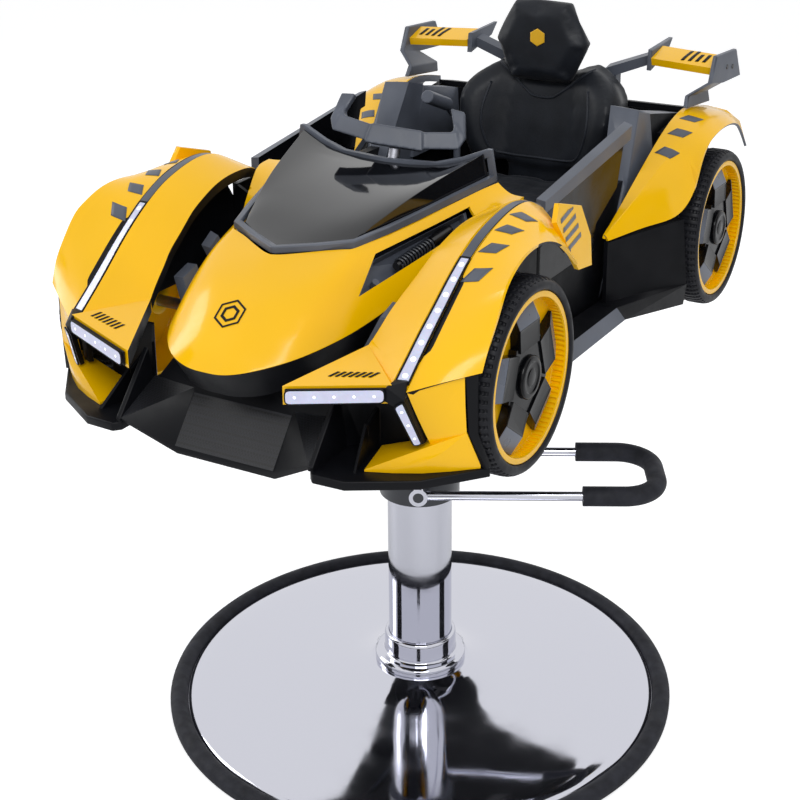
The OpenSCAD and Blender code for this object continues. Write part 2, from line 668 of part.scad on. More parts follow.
// Windshield: rows from the front edge to the rear edge, each from the middle to the side
glass_shares = [
    [[0.000, -0.070, 0.2615], [0.046, -0.047, 0.2660], [0.0800, -0.023, 0.2700], [0.0820, -0.0215, 0.2700],
     [0.0835, -0.0200, 0.2695]],
    [[0.000, -0.004, 0.2810], [0.054, 0.004, 0.2850], [0.082, 0.012, 0.2860], [0.0950, 0.022, 0.2860],
     [0.0980, 0.024, 0.2765]],
    [[0.000, 0.064, 0.2950], [0.062, 0.068, 0.2990], [0.090, 0.072, 0.3020], [0.1110, 0.078, 0.3050],
     [0.1160, 0.080, 0.2840]],
    [[0.000, 0.132, 0.3040], [0.068, 0.134, 0.3070], [0.100, 0.138, 0.3130], [0.1270, 0.144, 0.3210],
     [0.1320, 0.146, 0.2930]],
    [[0.000, 0.198, 0.3080], [0.074, 0.202, 0.3110], [0.110, 0.207, 0.3200], [0.1440, 0.214, 0.3350],
     [0.1500, 0.217, 0.3030]]
];
glass_steps = 4;
glass_grid = doubled_rows(spline(grid(glass_shares), glass_steps));
function doubled_rows(g) = [for (r = g) concat([for (i = [len(r) - 1:-1:1]) flip(r[i])], r)];

module windshield() color(gloss_black) car() shell(glass_grid, shifted(glass_grid, [0, 0, -glass_t]));

// The frame follows the glass's edge, from its middle in front round the side to its middle behind
frame_edge_shares = [
    [0.000, -0.0755, 0.2600], [0.046, -0.0525, 0.2640], [0.0885, -0.0290, 0.2685], [0.1060, 0.024, 0.2750],
    [0.1210, 0.080, 0.2820], [0.1370, 0.146, 0.2910], [0.1560, 0.222, 0.3010], [0.1500, 0.2215, 0.3360],
    [0.112, 0.2145, 0.3210], [0.075, 0.2080, 0.3115], [0.000, 0.2035, 0.3085]
];
bead_h = 9;

module windshield_frame() color(dark_grey) car() both() {
    ring = places(frame_edge_shares);
    for (i = [0:len(ring) - 2]) hull() for (p = [ring[i], ring[i + 1]])
        translate(p) cube([bead_w, bead_w, bead_h], center = true);
}

// Front fender: stations from the fold above the foot to the tail, each from the inner flange to the arch
fender_shares = [
    [[0.164, -0.119, 0.166], [0.164, -0.121, 0.180], [0.230, -0.187, 0.160], [0.2315, -0.186, 0.157],
     [0.2485, -0.182, 0.157], [0.250, -0.181, 0.159], [0.288, -0.156, 0.171], [0.321, -0.131, 0.179]],
    [[0.168, -0.100, 0.182], [0.168, -0.102, 0.196], [0.231, -0.152, 0.186], [0.2325, -0.151, 0.183],
     [0.2485, -0.148, 0.183], [0.250, -0.147, 0.185], [0.290, -0.132, 0.199], [0.323, -0.118, 0.208]],
    [[0.171, -0.080, 0.198], [0.171, -0.082, 0.212], [0.232, -0.121, 0.210], [0.2335, -0.120, 0.207],
     [0.2490, -0.117, 0.207], [0.2505, -0.116, 0.209], [0.292, -0.105, 0.225], [0.323, -0.097, 0.237]],
    [[0.176, -0.058, 0.214], [0.176, -0.060, 0.228], [0.234, -0.090, 0.234], [0.2355, -0.089, 0.231],
     [0.2500, -0.086, 0.231], [0.2515, -0.085, 0.233], [0.292, -0.079, 0.246], [0.321, -0.077, 0.262]],
    [[0.180, -0.030, 0.231], [0.180, -0.030, 0.245], [0.235, -0.060, 0.256], [0.2365, -0.059, 0.253],
     [0.2505, -0.056, 0.253], [0.2520, -0.055, 0.255], [0.291, -0.052, 0.264], [0.319, -0.055, 0.275]],
    [[0.184, 0.000, 0.249], [0.184, 0.000, 0.263], [0.236, -0.028, 0.276], [0.2375, -0.027, 0.273],
     [0.2510, -0.026, 0.273], [0.2525, -0.026, 0.275], [0.291, -0.026, 0.279], [0.318, -0.028, 0.285]],
    [[0.187, 0.030, 0.261], [0.187, 0.030, 0.275], [0.237, 0.004, 0.292], [0.2385, 0.005, 0.289],
     [0.2520, 0.005, 0.289], [0.2535, 0.005, 0.290], [0.291, 0.004, 0.290], [0.317, 0.002, 0.289]],
    [[0.190, 0.060, 0.270], [0.190, 0.060, 0.284], [0.238, 0.036, 0.302], [0.2395, 0.036, 0.299],
     [0.2530, 0.036, 0.299], [0.2545, 0.036, 0.301], [0.290, 0.036, 0.297], [0.316, 0.036, 0.287]],
    [[0.194, 0.092, 0.274], [0.194, 0.092, 0.288], [0.239, 0.070, 0.309], [0.2405, 0.070, 0.306],
     [0.2530, 0.070, 0.306], [0.2545, 0.070, 0.308], [0.289, 0.070, 0.300], [0.315, 0.068, 0.279]],
    [[0.198, 0.126, 0.274], [0.198, 0.126, 0.288], [0.240, 0.102, 0.311], [0.2415, 0.102, 0.308],
     [0.2530, 0.102, 0.308], [0.2545, 0.102, 0.310], [0.288, 0.101, 0.297], [0.315, 0.097, 0.266]],
    [[0.202, 0.156, 0.271], [0.202, 0.156, 0.285], [0.242, 0.132, 0.306], [0.2435, 0.132, 0.303],
     [0.2530, 0.132, 0.303], [0.2545, 0.132, 0.305], [0.288, 0.128, 0.285], [0.315, 0.122, 0.248]],
    [[0.208, 0.182, 0.262], [0.208, 0.182, 0.276], [0.246, 0.162, 0.294], [0.2475, 0.162, 0.291],
     [0.2550, 0.162, 0.290], [0.2565, 0.162, 0.290], [0.289, 0.156, 0.263], [0.314, 0.150, 0.226]]
];
fender_steps = 3;
fender_grid = spline(grid(fender_shares), fender_steps);

// The face under the fold, the foot on the splitter, the nose and the trailing winglet
cheek_shares = [
    [[0.264, -0.151, 0.086], [0.284, -0.145, 0.094], [0.305, -0.1375, 0.103]],
    [[0.256, -0.166, 0.122], [0.280, -0.152, 0.130], [0.3035, -0.1390, 0.138]],
    [[0.250, -0.180, 0.159], [0.277, -0.1595, 0.1705], [0.303, -0.1395, 0.1785]]
];
foot_shares = [
    [0.187, -0.131, 0.0523], [0.187, -0.131, 0.058], [0.199, -0.192, 0.0523], [0.199, -0.192, 0.055],
    [0.262, -0.168, 0.0523], [0.262, -0.168, 0.055], [0.3140, -0.1190, 0.0523], [0.3140, -0.1190, 0.056],
    [0.264, -0.151, 0.086], [0.305, -0.1375, 0.103], [0.304, -0.1345, 0.103], [0.260, -0.146, 0.086],
    [0.300, -0.1190, 0.0523], [0.230, -0.128, 0.0523]
];
nose_shares = [
    [0.113, -0.230, 0.157], [0.113, -0.230, 0.134], [0.236, -0.190, 0.169], [0.237, -0.189, 0.146],
    [0.164, -0.121, 0.180], [0.164, -0.121, 0.162], [0.231, -0.184, 0.164], [0.236, -0.180, 0.150]
];
winglet_shares = [
    [0.296, 0.104, 0.290], [0.303, 0.104, 0.292], [0.293, 0.118, 0.312], [0.300, 0.118, 0.313],
    [0.293, 0.188, 0.291], [0.300, 0.188, 0.292], [0.300, 0.206, 0.247], [0.307, 0.206, 0.247],
    [0.305, 0.203, 0.208], [0.311, 0.203, 0.208], [0.305, 0.160, 0.214], [0.311, 0.160, 0.214]
];

module front_fender() color(yellow) car() {
    panel(fender_grid, shell_t);
    panel(grid(cheek_shares), shell_t);
    solid(places(foot_shares));
    solid(places(nose_shares));
    solid(places(winglet_shares));
}

module front_fender_left() front_fender();

module front_fender_right() mirror([1, 0, 0]) front_fender();

// Strips that lie in the fender's groove, between two of its stations
strip_t = 2;
strip_lift = 0.3;
band_from_share = 0.46;
strip_first = 1;
strip_split = round(band_from_share*(len(fender_grid) - 1));

function groove(a, b) = [for (i = [a:b]) let (p = fender_grid[i][3], q = fender_grid[i][4],
    e = unit(q - p)*strip_lift*2) [p + e, q - e]];

module strip(a, b, low, high) {
    g = groove(a, b);
    shell(moved(g, high), moved(g, low));
}

module fender_bands() color(dark_grey) car() both()
    strip(strip_split + 1, len(fender_grid) - 1, strip_lift, strip_lift + strip_t);

front_lamp_shares = [[0.118, -0.2325, 0.137], [0.233, -0.1945, 0.149], [0.233, -0.1945, 0.166],
    [0.118, -0.2325, 0.155]];
low_lamp_shares = [[0.241, -0.190, 0.143], [0.250, -0.187, 0.150], [0.260, -0.161, 0.090],
    [0.252, -0.165, 0.088]];
lamp_t = 3;
low_lamp_depth = 8.3;
lamp_back = [0, 1, 0];

// A thin plate over a ring of places, from one depth to another along the car
module lamp_plate(ring, from, to) solid(concat([for (p = ring) p + lamp_back*from],
    [for (p = ring) p + lamp_back*to]));

module led_housings() color(black) car() both() {
    strip(strip_first, strip_split, strip_lift, strip_lift + strip_t/2);
    lamp_plate(places(front_lamp_shares), 0, lamp_t);
    lamp_plate(outset(places(low_lamp_shares), strip_t), 0, low_lamp_depth);
}

module led_lenses() color(white) car() both() {
    strip(strip_first, strip_split, strip_lift + strip_t/2, strip_lift + strip_t);
    lamp_plate(outset(places(front_lamp_shares), -strip_t), -lamp_t, -seam);
    lamp_plate(places(low_lamp_shares), -lamp_t, -seam);
}

// Bumper: the ramp with its lowered lip, the wall behind it, the upright fins and the ducts
bumper_shares = [
    [[0.000, -0.196, 0.014], [0.074, -0.196, 0.014], [0.000, -0.200, 0.026], [0.074, -0.200, 0.026],
     [0.000, -0.150, 0.034], [0.074, -0.150, 0.036], [0.000, -0.150, 0.088], [0.074, -0.150, 0.088]],
    [[0.074, -0.196, 0.014], [0.140, -0.218, 0.0525], [0.074, -0.200, 0.026], [0.140, -0.221, 0.058],
     [0.074, -0.150, 0.036], [0.140, -0.150, 0.0525], [0.074, -0.150, 0.088], [0.140, -0.150, 0.090]],
    [[0.000, -0.156, 0.080], [0.140, -0.156, 0.080], [0.000, -0.149, 0.080], [0.140, -0.149, 0.080],
     [0.000, -0.138, 0.114], [0.120, -0.134, 0.114], [0.000, -0.130, 0.114], [0.120, -0.128, 0.114]],
    [[0.140, -0.222, 0.052], [0.147, -0.222, 0.052], [0.140, -0.222, 0.058], [0.147, -0.222, 0.058],
     [0.140, -0.149, 0.052], [0.147, -0.149, 0.052], [0.140, -0.160, 0.132], [0.147, -0.160, 0.132]],
    [[0.1885, -0.200, 0.052], [0.1925, -0.202, 0.052], [0.1770, -0.150, 0.052], [0.1810, -0.150, 0.052],
     [0.1770, -0.155, 0.094], [0.1810, -0.155, 0.094]],
    [[0.1405, -0.152, 0.052], [0.1405, -0.146, 0.052], [0.160, -0.127, 0.052], [0.160, -0.122, 0.052],
     [0.1405, -0.152, 0.136], [0.1405, -0.146, 0.136], [0.160, -0.127, 0.150], [0.160, -0.122, 0.150]],
    [[0.158, -0.129, 0.052], [0.158, -0.124, 0.052], [0.2335, -0.1225, 0.052], [0.2335, -0.1195, 0.052],
     [0.158, -0.129, 0.150], [0.158, -0.124, 0.150], [0.2335, -0.1225, 0.150], [0.2335, -0.1195, 0.150]],
    [[0.1765, -0.152, 0.052], [0.1815, -0.152, 0.052], [0.1765, -0.121, 0.052], [0.1815, -0.121, 0.052],
     [0.1765, -0.152, 0.093], [0.1815, -0.152, 0.093], [0.1765, -0.121, 0.108], [0.1815, -0.121, 0.108]]
];

module front_bumper() color(black) car() both() solids(bumper_shares);

splitter_top = floor_low;
splitter_t = 12;
splitter_shares = [
    [0.1408, -0.148], [0.1408, -0.219], [0.149, -0.228], [0.192, -0.226], [0.267, -0.182],
    [0.324, -0.112], [0.314, -0.106], [0.160, -0.122], [0.135, -0.108], [0.120, -0.108],
    [0.120, -0.148]
];

module splitter() color(black) car() both() translate([0, 0, splitter_top - splitter_t])
    linear_extrude(splitter_t) polygon([for (p = splitter_shares) [p[0]*grid_w, p[1]*grid_l]]);

// Dampers in the side vents
damper_foot_share = [0.1182, -0.034, 0.2243];
damper_head_share = [0.1420, 0.126, 0.2550];
damper_in_share = 0.25;
damper_foot = place(damper_foot_share) - vent_out*vent_depth*damper_in_share;
damper_head = place(damper_head_share) - vent_out*vent_depth*damper_in_share;
boss_low_share = 0.06;
boss_high_share = 0.90;
boss_share = 0.8;
damper_dir = unit(damper_head - damper_foot);
damper_l = norm(damper_head - damper_foot);
spring_from_share = 0.30;
spring_to_share = 0.74;
core_r = spring_d/2 - wire_d - seam;

function on_damper(s) = damper_foot + damper_dir*damper_l*s;

damper_line_shares = [[0, 0.5], [0.30, 0.5], [0.30, 1.0], [0.74, 1.0], [0.74, 1.3], [0.96, 1.3], [1, 1.0]];

module dampers() color(black) car() both() translate(damper_foot)
    rotate([0, acos(damper_dir[2]), atan2(damper_dir[1], damper_dir[0])]) rotate_extrude() polygon(concat(
        [[0, 0]],
        [for (p = damper_line_shares) [p[1]*core_r, p[0]*damper_l]],
        [[0, damper_l]]));

// A spring of round wire about the damper
ring_sides = 6;
curl_rings = 8;
mean_r = (spring_d - wire_d)/2;
spring_l = damper_l*(spring_to_share - spring_from_share);
pitch = (spring_l - 2*wire_d)/curls;
side_a = unit(cross(damper_dir, [0, 0, 1]));
side_b = cross(damper_dir, side_a);

function coil_point(k) = on_damper(spring_from_share) + damper_dir*(wire_d + pitch*k/curl_rings)
    + mean_r*(side_a*cos(k*360/curl_rings) + side_b*sin(k*360/curl_rings));
coil_count = curls*curl_rings;
coil = concat(
    [coil_point(0) - side_b*wire_d],
    [for (k = [0:coil_count]) coil_point(k)],
    [coil_point(coil_count) + side_b*wire_d]);

function tangent(p, i) = unit(p[min(i + 1, len(p) - 1)] - p[max(i - 1, 0)]);
function wire_ring(p, i, r) = let (t = tangent(p, i), u = unit(cross(t, damper_dir)), v = cross(t, u))
    [for (k = [0:ring_sides - 1]) p[i] + r*(u*cos(k*360/ring_sides) + v*sin(k*360/ring_sides))];

module wire(p, r) {
    n = len(p);
    pts = [for (i = [0:n - 1]) each wire_ring(p, i, r)];
    m = ring_sides;
    walls = [for (i = [0:n - 2]) for (k = [0:m - 1]) each
        [[i*m + k, i*m + m + k, i*m + m + (k + 1)%m], [i*m + k, i*m + m + (k + 1)%m, i*m + (k + 1)%m]]];
    start = [for (k = [1:m - 2]) [0, k, k + 1]];
    end = [for (k = [1:m - 2]) [n*m - m, n*m - m + k + 1, n*m - m + k]];
    polyhedron(pts, concat(walls, start, end));
}

least_gap = min([for (i = [1:curl_rings*2]) for (j = [i + curl_rings - 2:i + curl_rings + 2])
    norm(coil[i] - coil[j])]) - wire_d;
echo(least_gap_of_spring = least_gap);

module damper_springs() color(black) car() both() wire(coil, wire_d/2);

// Rear fender: stations from the tip at the pod to the tail, each from the inner flange to the arch
rear_fender_shares = [
    [[0.2400, 0.409, 0.176], [0.2410, 0.409, 0.181], [0.2440, 0.409, 0.181], [0.2460, 0.411, 0.178],
     [0.2480, 0.413, 0.172]],
    [[0.2400, 0.480, 0.202], [0.2410, 0.480, 0.214], [0.2560, 0.478, 0.213], [0.2680, 0.480, 0.196],
     [0.2740, 0.486, 0.1765]],
    [[0.2410, 0.545, 0.236], [0.2420, 0.545, 0.248], [0.2660, 0.541, 0.244], [0.2920, 0.542, 0.214],
     [0.3020, 0.544, 0.1815]],
    [[0.2420, 0.596, 0.262], [0.2430, 0.596, 0.274], [0.2730, 0.590, 0.268], [0.3000, 0.584, 0.244],
     [0.3170, 0.572, 0.2100]],
    [[0.2430, 0.636, 0.280], [0.2440, 0.636, 0.292], [0.2770, 0.630, 0.287], [0.3030, 0.618, 0.272],
     [0.3180, 0.596, 0.2520]],
    [[0.2440, 0.672, 0.292], [0.2450, 0.672, 0.304], [0.2800, 0.668, 0.299], [0.3040, 0.655, 0.290],
     [0.3180, 0.634, 0.2780]],
    [[0.2450, 0.708, 0.298], [0.2460, 0.708, 0.310], [0.2810, 0.706, 0.305], [0.3040, 0.700, 0.299],
     [0.3180, 0.690, 0.2880]],
    [[0.2460, 0.744, 0.296], [0.2470, 0.744, 0.308], [0.2810, 0.745, 0.303], [0.3030, 0.746, 0.297],
     [0.3170, 0.746, 0.2860]],
    [[0.2470, 0.780, 0.290], [0.2480, 0.780, 0.302], [0.2810, 0.783, 0.297], [0.3020, 0.788, 0.289],
     [0.3150, 0.794, 0.2700]],
    [[0.2500, 0.816, 0.282], [0.2510, 0.816, 0.294], [0.2820, 0.822, 0.288], [0.3020, 0.832, 0.270],
     [0.3120, 0.846, 0.2260]]
];
rear_fender_grid = spline(grid(rear_fender_shares), fender_steps);

module rear_fender() color(yellow) car() panel(rear_fender_grid, shell_t);

module rear_fender_left() rear_fender();

module rear_fender_right() mirror([1, 0, 0]) rear_fender();

// Deck behind the seat, with the tail below it
deck_shares = [
    [[-0.232, 0.776, 0.240], [0.232, 0.776, 0.240], [-0.232, 0.776, 0.296], [0.232, 0.776, 0.296],
     [-0.232, 0.836, 0.240], [0.232, 0.836, 0.240], [-0.232, 0.826, 0.286], [0.232, 0.826, 0.286]],
    [[-0.165, 0.776, 0.062], [0.165, 0.776, 0.062], [-0.200, 0.776, 0.242], [0.200, 0.776, 0.242],
     [-0.140, 0.838, 0.062], [0.140, 0.838, 0.062], [-0.200, 0.850, 0.170], [0.200, 0.850, 0.170],
     [-0.210, 0.836, 0.242], [0.210, 0.836, 0.242]],
    [[0.2235, 0.656, 0.252], [0.235, 0.656, 0.252], [0.2235, 0.777, 0.252], [0.235, 0.777, 0.252],
     [0.2235, 0.656, 0.278], [0.235, 0.656, 0.278], [0.2235, 0.777, 0.292], [0.235, 0.777, 0.292]],
    [[-0.2235, 0.656, 0.252], [-0.235, 0.656, 0.252], [-0.2235, 0.777, 0.252], [-0.235, 0.777, 0.252],
     [-0.2235, 0.656, 0.278], [-0.235, 0.656, 0.278], [-0.2235, 0.777, 0.292], [-0.235, 0.777, 0.292]],
    [[0.072, 0.786, 0.286], [0.104, 0.786, 0.286], [0.072, 0.816, 0.280], [0.104, 0.816, 0.280],
     [0.072, 0.786, 0.300], [0.104, 0.786, 0.300], [0.072, 0.814, 0.300], [0.104, 0.814, 0.300]],
    [[-0.072, 0.786, 0.286], [-0.104, 0.786, 0.286], [-0.072, 0.816, 0.280], [-0.104, 0.816, 0.280],
     [-0.072, 0.786, 0.300], [-0.104, 0.786, 0.300], [-0.072, 0.814, 0.300], [-0.104, 0.814, 0.300]]
];

module rear_deck() color(dark_grey) car() solids(deck_shares);

// Wings: a yellow blade on each side between an outer strut and an inner plate
blade_shares = [
    [0.1695, 0.764, 0.3620], [0.1695, 0.760, 0.3740], [0.1695, 0.808, 0.3800], [0.1695, 0.812, 0.3860],
    [0.2765, 0.752, 0.3580], [0.2765, 0.749, 0.3700], [0.2765, 0.786, 0.3780], [0.2765, 0.790, 0.3840]
];
strut_shares = [
    [[0.2770, 0.730, 0.350], [0.2850, 0.730, 0.350], [0.2770, 0.749, 0.390], [0.2850, 0.749, 0.390],
     [0.2770, 0.846, 0.386], [0.2850, 0.846, 0.386], [0.2770, 0.874, 0.338], [0.2850, 0.874, 0.338],
     [0.2770, 0.784, 0.341], [0.2850, 0.784, 0.341]],
    [[0.2770, 0.730, 0.350], [0.2850, 0.730, 0.350], [0.2770, 0.784, 0.342], [0.2850, 0.784, 0.342],
     [0.2480, 0.708, 0.330], [0.2560, 0.708, 0.330], [0.2480, 0.800, 0.322], [0.2560, 0.800, 0.322]],
    [[0.2480, 0.708, 0.330], [0.2560, 0.708, 0.330], [0.2480, 0.800, 0.322], [0.2560, 0.800, 0.322],
     [0.2500, 0.697, 0.3128], [0.2580, 0.697, 0.3128], [0.2500, 0.806, 0.3036], [0.2580, 0.806, 0.3036]],
    [[0.1610, 0.762, 0.353], [0.1690, 0.762, 0.353], [0.1610, 0.766, 0.386], [0.1690, 0.766, 0.386],
     [0.1610, 0.862, 0.392], [0.1690, 0.862, 0.392], [0.1610, 0.840, 0.372], [0.1690, 0.840, 0.372]],
    [[0.0780, 0.790, 0.300], [0.0980, 0.790, 0.300], [0.0780, 0.810, 0.300], [0.0980, 0.810, 0.300],
     [0.0780, 0.790, 0.334], [0.0980, 0.790, 0.334], [0.0780, 0.810, 0.340], [0.0980, 0.810, 0.340]],
    [[0.0780, 0.790, 0.326], [0.0780, 0.810, 0.330], [0.0780, 0.790, 0.344], [0.0780, 0.810, 0.348],
     [0.1620, 0.782, 0.360], [0.1620, 0.804, 0.364], [0.1620, 0.782, 0.376], [0.1620, 0.804, 0.380]]
];

module wing_blades() color(yellow) car() both() solid(places(blade_shares));

module wing_plates() color(dark_grey) car() both() solids(strut_shares);

// Seat: soft pieces with crowned, drawn-in and channelled faces
cushion_place_share = [0, 0.584, 0.1323];
seat_steps = 12;
edge_in_share = 0.07;
foot_share = 0.96;
channel_shares = [-0.30, 0.30];
channel_w_share = 0.05;

// How far a place s and t across a soft face is drawn in, from none in the middle to one at the edge
function drawn(s, t) = pow(max(abs(s), abs(t)), 6);
function dip(s) = max([for (c = channel_shares) max(0, 1 - abs(s/2 - c/2)/channel_w_share)]);
function soft_height(s, t, h) = h - crown*(s*s + t*t)/2 - crown*drawn(s, t) - channel_depth*dip(s)*(1 - drawn(s, t));
function soft_side(s, t) = 1 - edge_in_share*drawn(s, t);

// A grid over a soft face w wide and l long, with its crown at the height h
function soft_grid(w, l, h) = [for (i = [0:seat_steps]) let (s = 2*i/seat_steps - 1)
    [for (j = [0:seat_steps]) let (t = 2*j/seat_steps - 1)
        [s*w/2*soft_side(s, t), t*l/2*soft_side(t, s), soft_height(s, t, h)]]];
function flat_grid(w, l, h) = [for (i = [0:seat_steps]) let (s = 2*i/seat_steps - 1)
    [for (j = [0:seat_steps]) let (t = 2*j/seat_steps - 1) [s*w/2, t*l/2, h]]];

module seat_cushion() color(black) car() translate(place(cushion_place_share))
    shell(flat_grid(cushion_w*foot_share, cushion_l*foot_share, 0), soft_grid(cushion_w, cushion_l, cushion_t));

// Back: rows from the cushion to the shoulders, each from the middle to the bolster's outer edge
back_shares = [
    [[0.000, 0.694, 0.186], [0.055, 0.692, 0.186], [0.080, 0.676, 0.186], [0.104, 0.664, 0.188],
     [0.118, 0.684, 0.188]],
    [[0.000, 0.700, 0.220], [0.060, 0.698, 0.220], [0.090, 0.676, 0.222], [0.116, 0.660, 0.224],
     [0.130, 0.686, 0.224]],
    [[0.000, 0.706, 0.256], [0.062, 0.704, 0.256], [0.096, 0.678, 0.262], [0.126, 0.660, 0.268],
     [0.141, 0.690, 0.266]],
    [[0.000, 0.714, 0.290], [0.060, 0.712, 0.292], [0.094, 0.690, 0.300], [0.126, 0.670, 0.308],
     [0.143, 0.700, 0.304]],
    [[0.000, 0.720, 0.318], [0.054, 0.720, 0.322], [0.084, 0.706, 0.330], [0.112, 0.694, 0.336],
     [0.128, 0.714, 0.330]],
    [[0.000, 0.732, 0.338], [0.046, 0.732, 0.344], [0.070, 0.724, 0.354], [0.094, 0.720, 0.356],
     [0.104, 0.732, 0.348]]
];
back_rear_y_share = 0.760;
back_steps = 2;
back_grid = doubled_rows([for (r = spline(grid(back_shares), back_steps)) spline(r, back_steps)]);
back_rear = [for (r = back_grid) [for (p = r) [p[0]*0.94, back_rear_y_share*grid_l, p[2]]]];

module seat_back() color(black) car() {
    shell(back_grid, back_rear);
    solid([for (p = places(back_post_shares)) [p[0], p[1], max(p[2], rear_base_top + seam)]]);
}

// The post's foot is raised to stand on the rear base
back_post_shares = [
    [-0.060, 0.700, 0.067], [0.060, 0.700, 0.067], [-0.060, 0.758, 0.067], [0.060, 0.758, 0.067],
    [-0.060, 0.706, 0.200], [0.060, 0.706, 0.200], [-0.060, 0.758, 0.200], [0.060, 0.758, 0.200]
];

// Headrest: a six-sided pad, its face drawn in at the edge
headrest_outline_shares = [
    [0.049, 0.462], [-0.049, 0.462], [-0.083, 0.396], [-0.052, 0.330], [0.052, 0.330], [0.083, 0.396]
];
headrest_face_share = 0.690;
headrest_rear_share = 0.7262;
headrest_post_shares = [
    [0.022, 0.7250, 0.352], [0.042, 0.7250, 0.352], [0.022, 0.7250, 0.420], [0.042, 0.7250, 0.420],
    [0.022, 0.7400, 0.3450], [0.042, 0.7400, 0.3450], [0.022, 0.7540, 0.3450], [0.042, 0.7540, 0.3450],
    [0.022, 0.7400, 0.404], [0.042, 0.7400, 0.404], [0.022, 0.7540, 0.392], [0.042, 0.7540, 0.392]
];
rounding = 5;

module headrest_section(inset, y0, y1) translate([0, y1, 0]) rotate([90, 0, 0]) linear_extrude(y1 - y0)
    offset(r = rounding) offset(delta = -rounding - inset)
    polygon([for (p = headrest_outline_shares) [p[0]*grid_w, p[1]*grid_h]]);

module headrest() color(black) car() {
    y0 = headrest_face_share*grid_l;
    deep = (headrest_rear_share - headrest_face_share)*grid_l;
    tall = rounding*2;
    hull() {
        headrest_section(tall, y0, y0 + deep*0.1);
        headrest_section(tall*0.4, y0 + deep*0.1, y0 + deep*0.2);
        headrest_section(0, y0 + deep*0.4, y0 + deep*0.8);
        headrest_section(tall*0.4, y0 + deep*0.8, y0 + deep);
    }
    both() solid(places(headrest_post_shares));
}

// Steering
module at_yoke() translate(yoke_at) rotate([shaft_slope - 90, 0, 0]) rotate(yoke_turn) children();

module steering_shaft() color(steel) car() bar(yoke_at - shaft_dir*shaft_l, yoke_at - shaft_dir*yoke_hub_t,
    shaft_d/2);

yoke_hub_t = 16;
yoke_blocks_shares = [
    [[-0.034, 0.014, -0.014], [0.034, 0.014, -0.014], [-0.042, -0.018, -0.014], [0.042, -0.018, -0.014],
     [-0.030, 0.010, 0.014], [0.030, 0.010, 0.014], [-0.036, -0.014, 0.014], [0.036, -0.014, 0.014]],
    [[0.034, 0.010, -0.010], [0.036, -0.014, -0.012], [0.032, 0.008, 0.012], [0.034, -0.012, 0.012],
     [0.084, 0.012, -0.002], [0.090, -0.012, -0.004], [0.078, 0.012, 0.018], [0.084, -0.010, 0.020]],
    [[0.084, 0.012, -0.002], [0.090, -0.012, -0.004], [0.074, 0.012, 0.014], [0.076, -0.010, 0.016],
     [0.096, 0.010, 0.014], [0.096, -0.008, 0.012], [0.080, 0.014, 0.032], [0.080, -0.006, 0.032]],
    [[0.096, 0.010, 0.014], [0.096, -0.008, 0.012], [0.078, 0.012, 0.024], [0.078, -0.006, 0.024],
     [0.088, 0.022, 0.048], [0.088, 0.002, 0.050], [0.068, 0.020, 0.050], [0.068, 0.002, 0.052]]
];

module steering_yoke() color(dark_grey) car() at_yoke() {
    solid(places(yoke_blocks_shares[0]));
    for (k = [1:3]) both() solid(places(yoke_blocks_shares[k]));
}

// Side lever on the right of the seat
side_pivot_share = [-0.1300, 0.652, 0.170];
side_rod_shares = [[-0.1300, 0.652, 0.170], [-0.1300, 0.652, 0.236], [-0.1270, 0.630, 0.276],
    [-0.1220, 0.600, 0.298]];
side_grip_shares = [[-0.1225, 0.604, 0.297], [-0.1185, 0.528, 0.325]];
side_pivot = place(side_pivot_share);
side_rod_r = 6;
side_knuckle_share = 1.1;
side_grip_r = 11;
side_boss_r = 13;
side_boss_t = 12;
side_pin_r = 5;
side_pin_from_share = -0.146;
side_pin_from = side_pin_from_share*grid_w;

module side_lever() color(mid_grey) car() {
    rod = places(side_rod_shares);
    grip = places(side_grip_shares);
    difference() {
        union() {
            bar(rod[0], rod[1], side_rod_r);
            translate(side_pivot) rotate([0, 90, 0]) cylinder(h = side_boss_t, r = side_boss_r, center = true);
        }
        translate(side_pivot) rotate([0, 90, 0])
            cylinder(h = side_boss_t + 2*over, r = side_pin_r + play, center = true);
    }
    for (i = [1:len(rod) - 2]) {
        bar(rod[i], rod[i + 1], side_rod_r);
        translate(rod[i]) sphere(r = side_rod_r*side_knuckle_share);
    }
    bar(grip[0], grip[1], side_grip_r);
}

// Doors
door_outline_shares = [
    [0.216, 0.160], [0.216, 0.264], [0.500, 0.300], [0.478, 0.234], [0.402, 0.198], [0.398, 0.160]
];
door_from_share = 0.2245;
door_t = 8;
door_rail_shares = [
    [0.2245, 0.212, 0.2635], [0.2380, 0.212, 0.2635], [0.2245, 0.212, 0.284], [0.2380, 0.212, 0.282],
    [0.2245, 0.512, 0.3000], [0.2380, 0.512, 0.3000], [0.2245, 0.516, 0.326], [0.2380, 0.516, 0.322]
];
hinge_place_share = [0.2285, 0.2085, 0.168];
hinge_h_share = 0.050;
hinge_r = 5;
hinge_pin_r = 2.5;
hinge_web = 8;
hinge_at = place(hinge_place_share);
hinge_h = hinge_h_share*grid_h;

module door() color(gloss_black) car() difference() {
    union() {
        slab(door_outline_shares, door_from_share*grid_w, door_from_share*grid_w + door_t);
        solid(places(door_rail_shares));
        translate(hinge_at) cylinder(h = hinge_h, r = hinge_r);
        translate(hinge_at - [hinge_web/2, 0, 0]) cube([hinge_web, 2*hinge_r, hinge_h]);
    }
    translate(hinge_at - [0, 0, over]) cylinder(h = hinge_h + 2*over, r = hinge_pin_r + play);
}

// The fixed half of a door's hinge: a pin between two lugs on the tub's side wall
module hinge_pin() {
    translate(hinge_at - [0, 0, hinge_r]) cylinder(h = hinge_h + 2*hinge_r, r = hinge_pin_r);
    for (z = [-hinge_r - seam, hinge_h + seam]) translate(hinge_at + [-hinge_r*3, -hinge_r, z])
        cube([hinge_r*3 + hinge_web/2, hinge_r*2, hinge_r]);
}

module door_left() door();

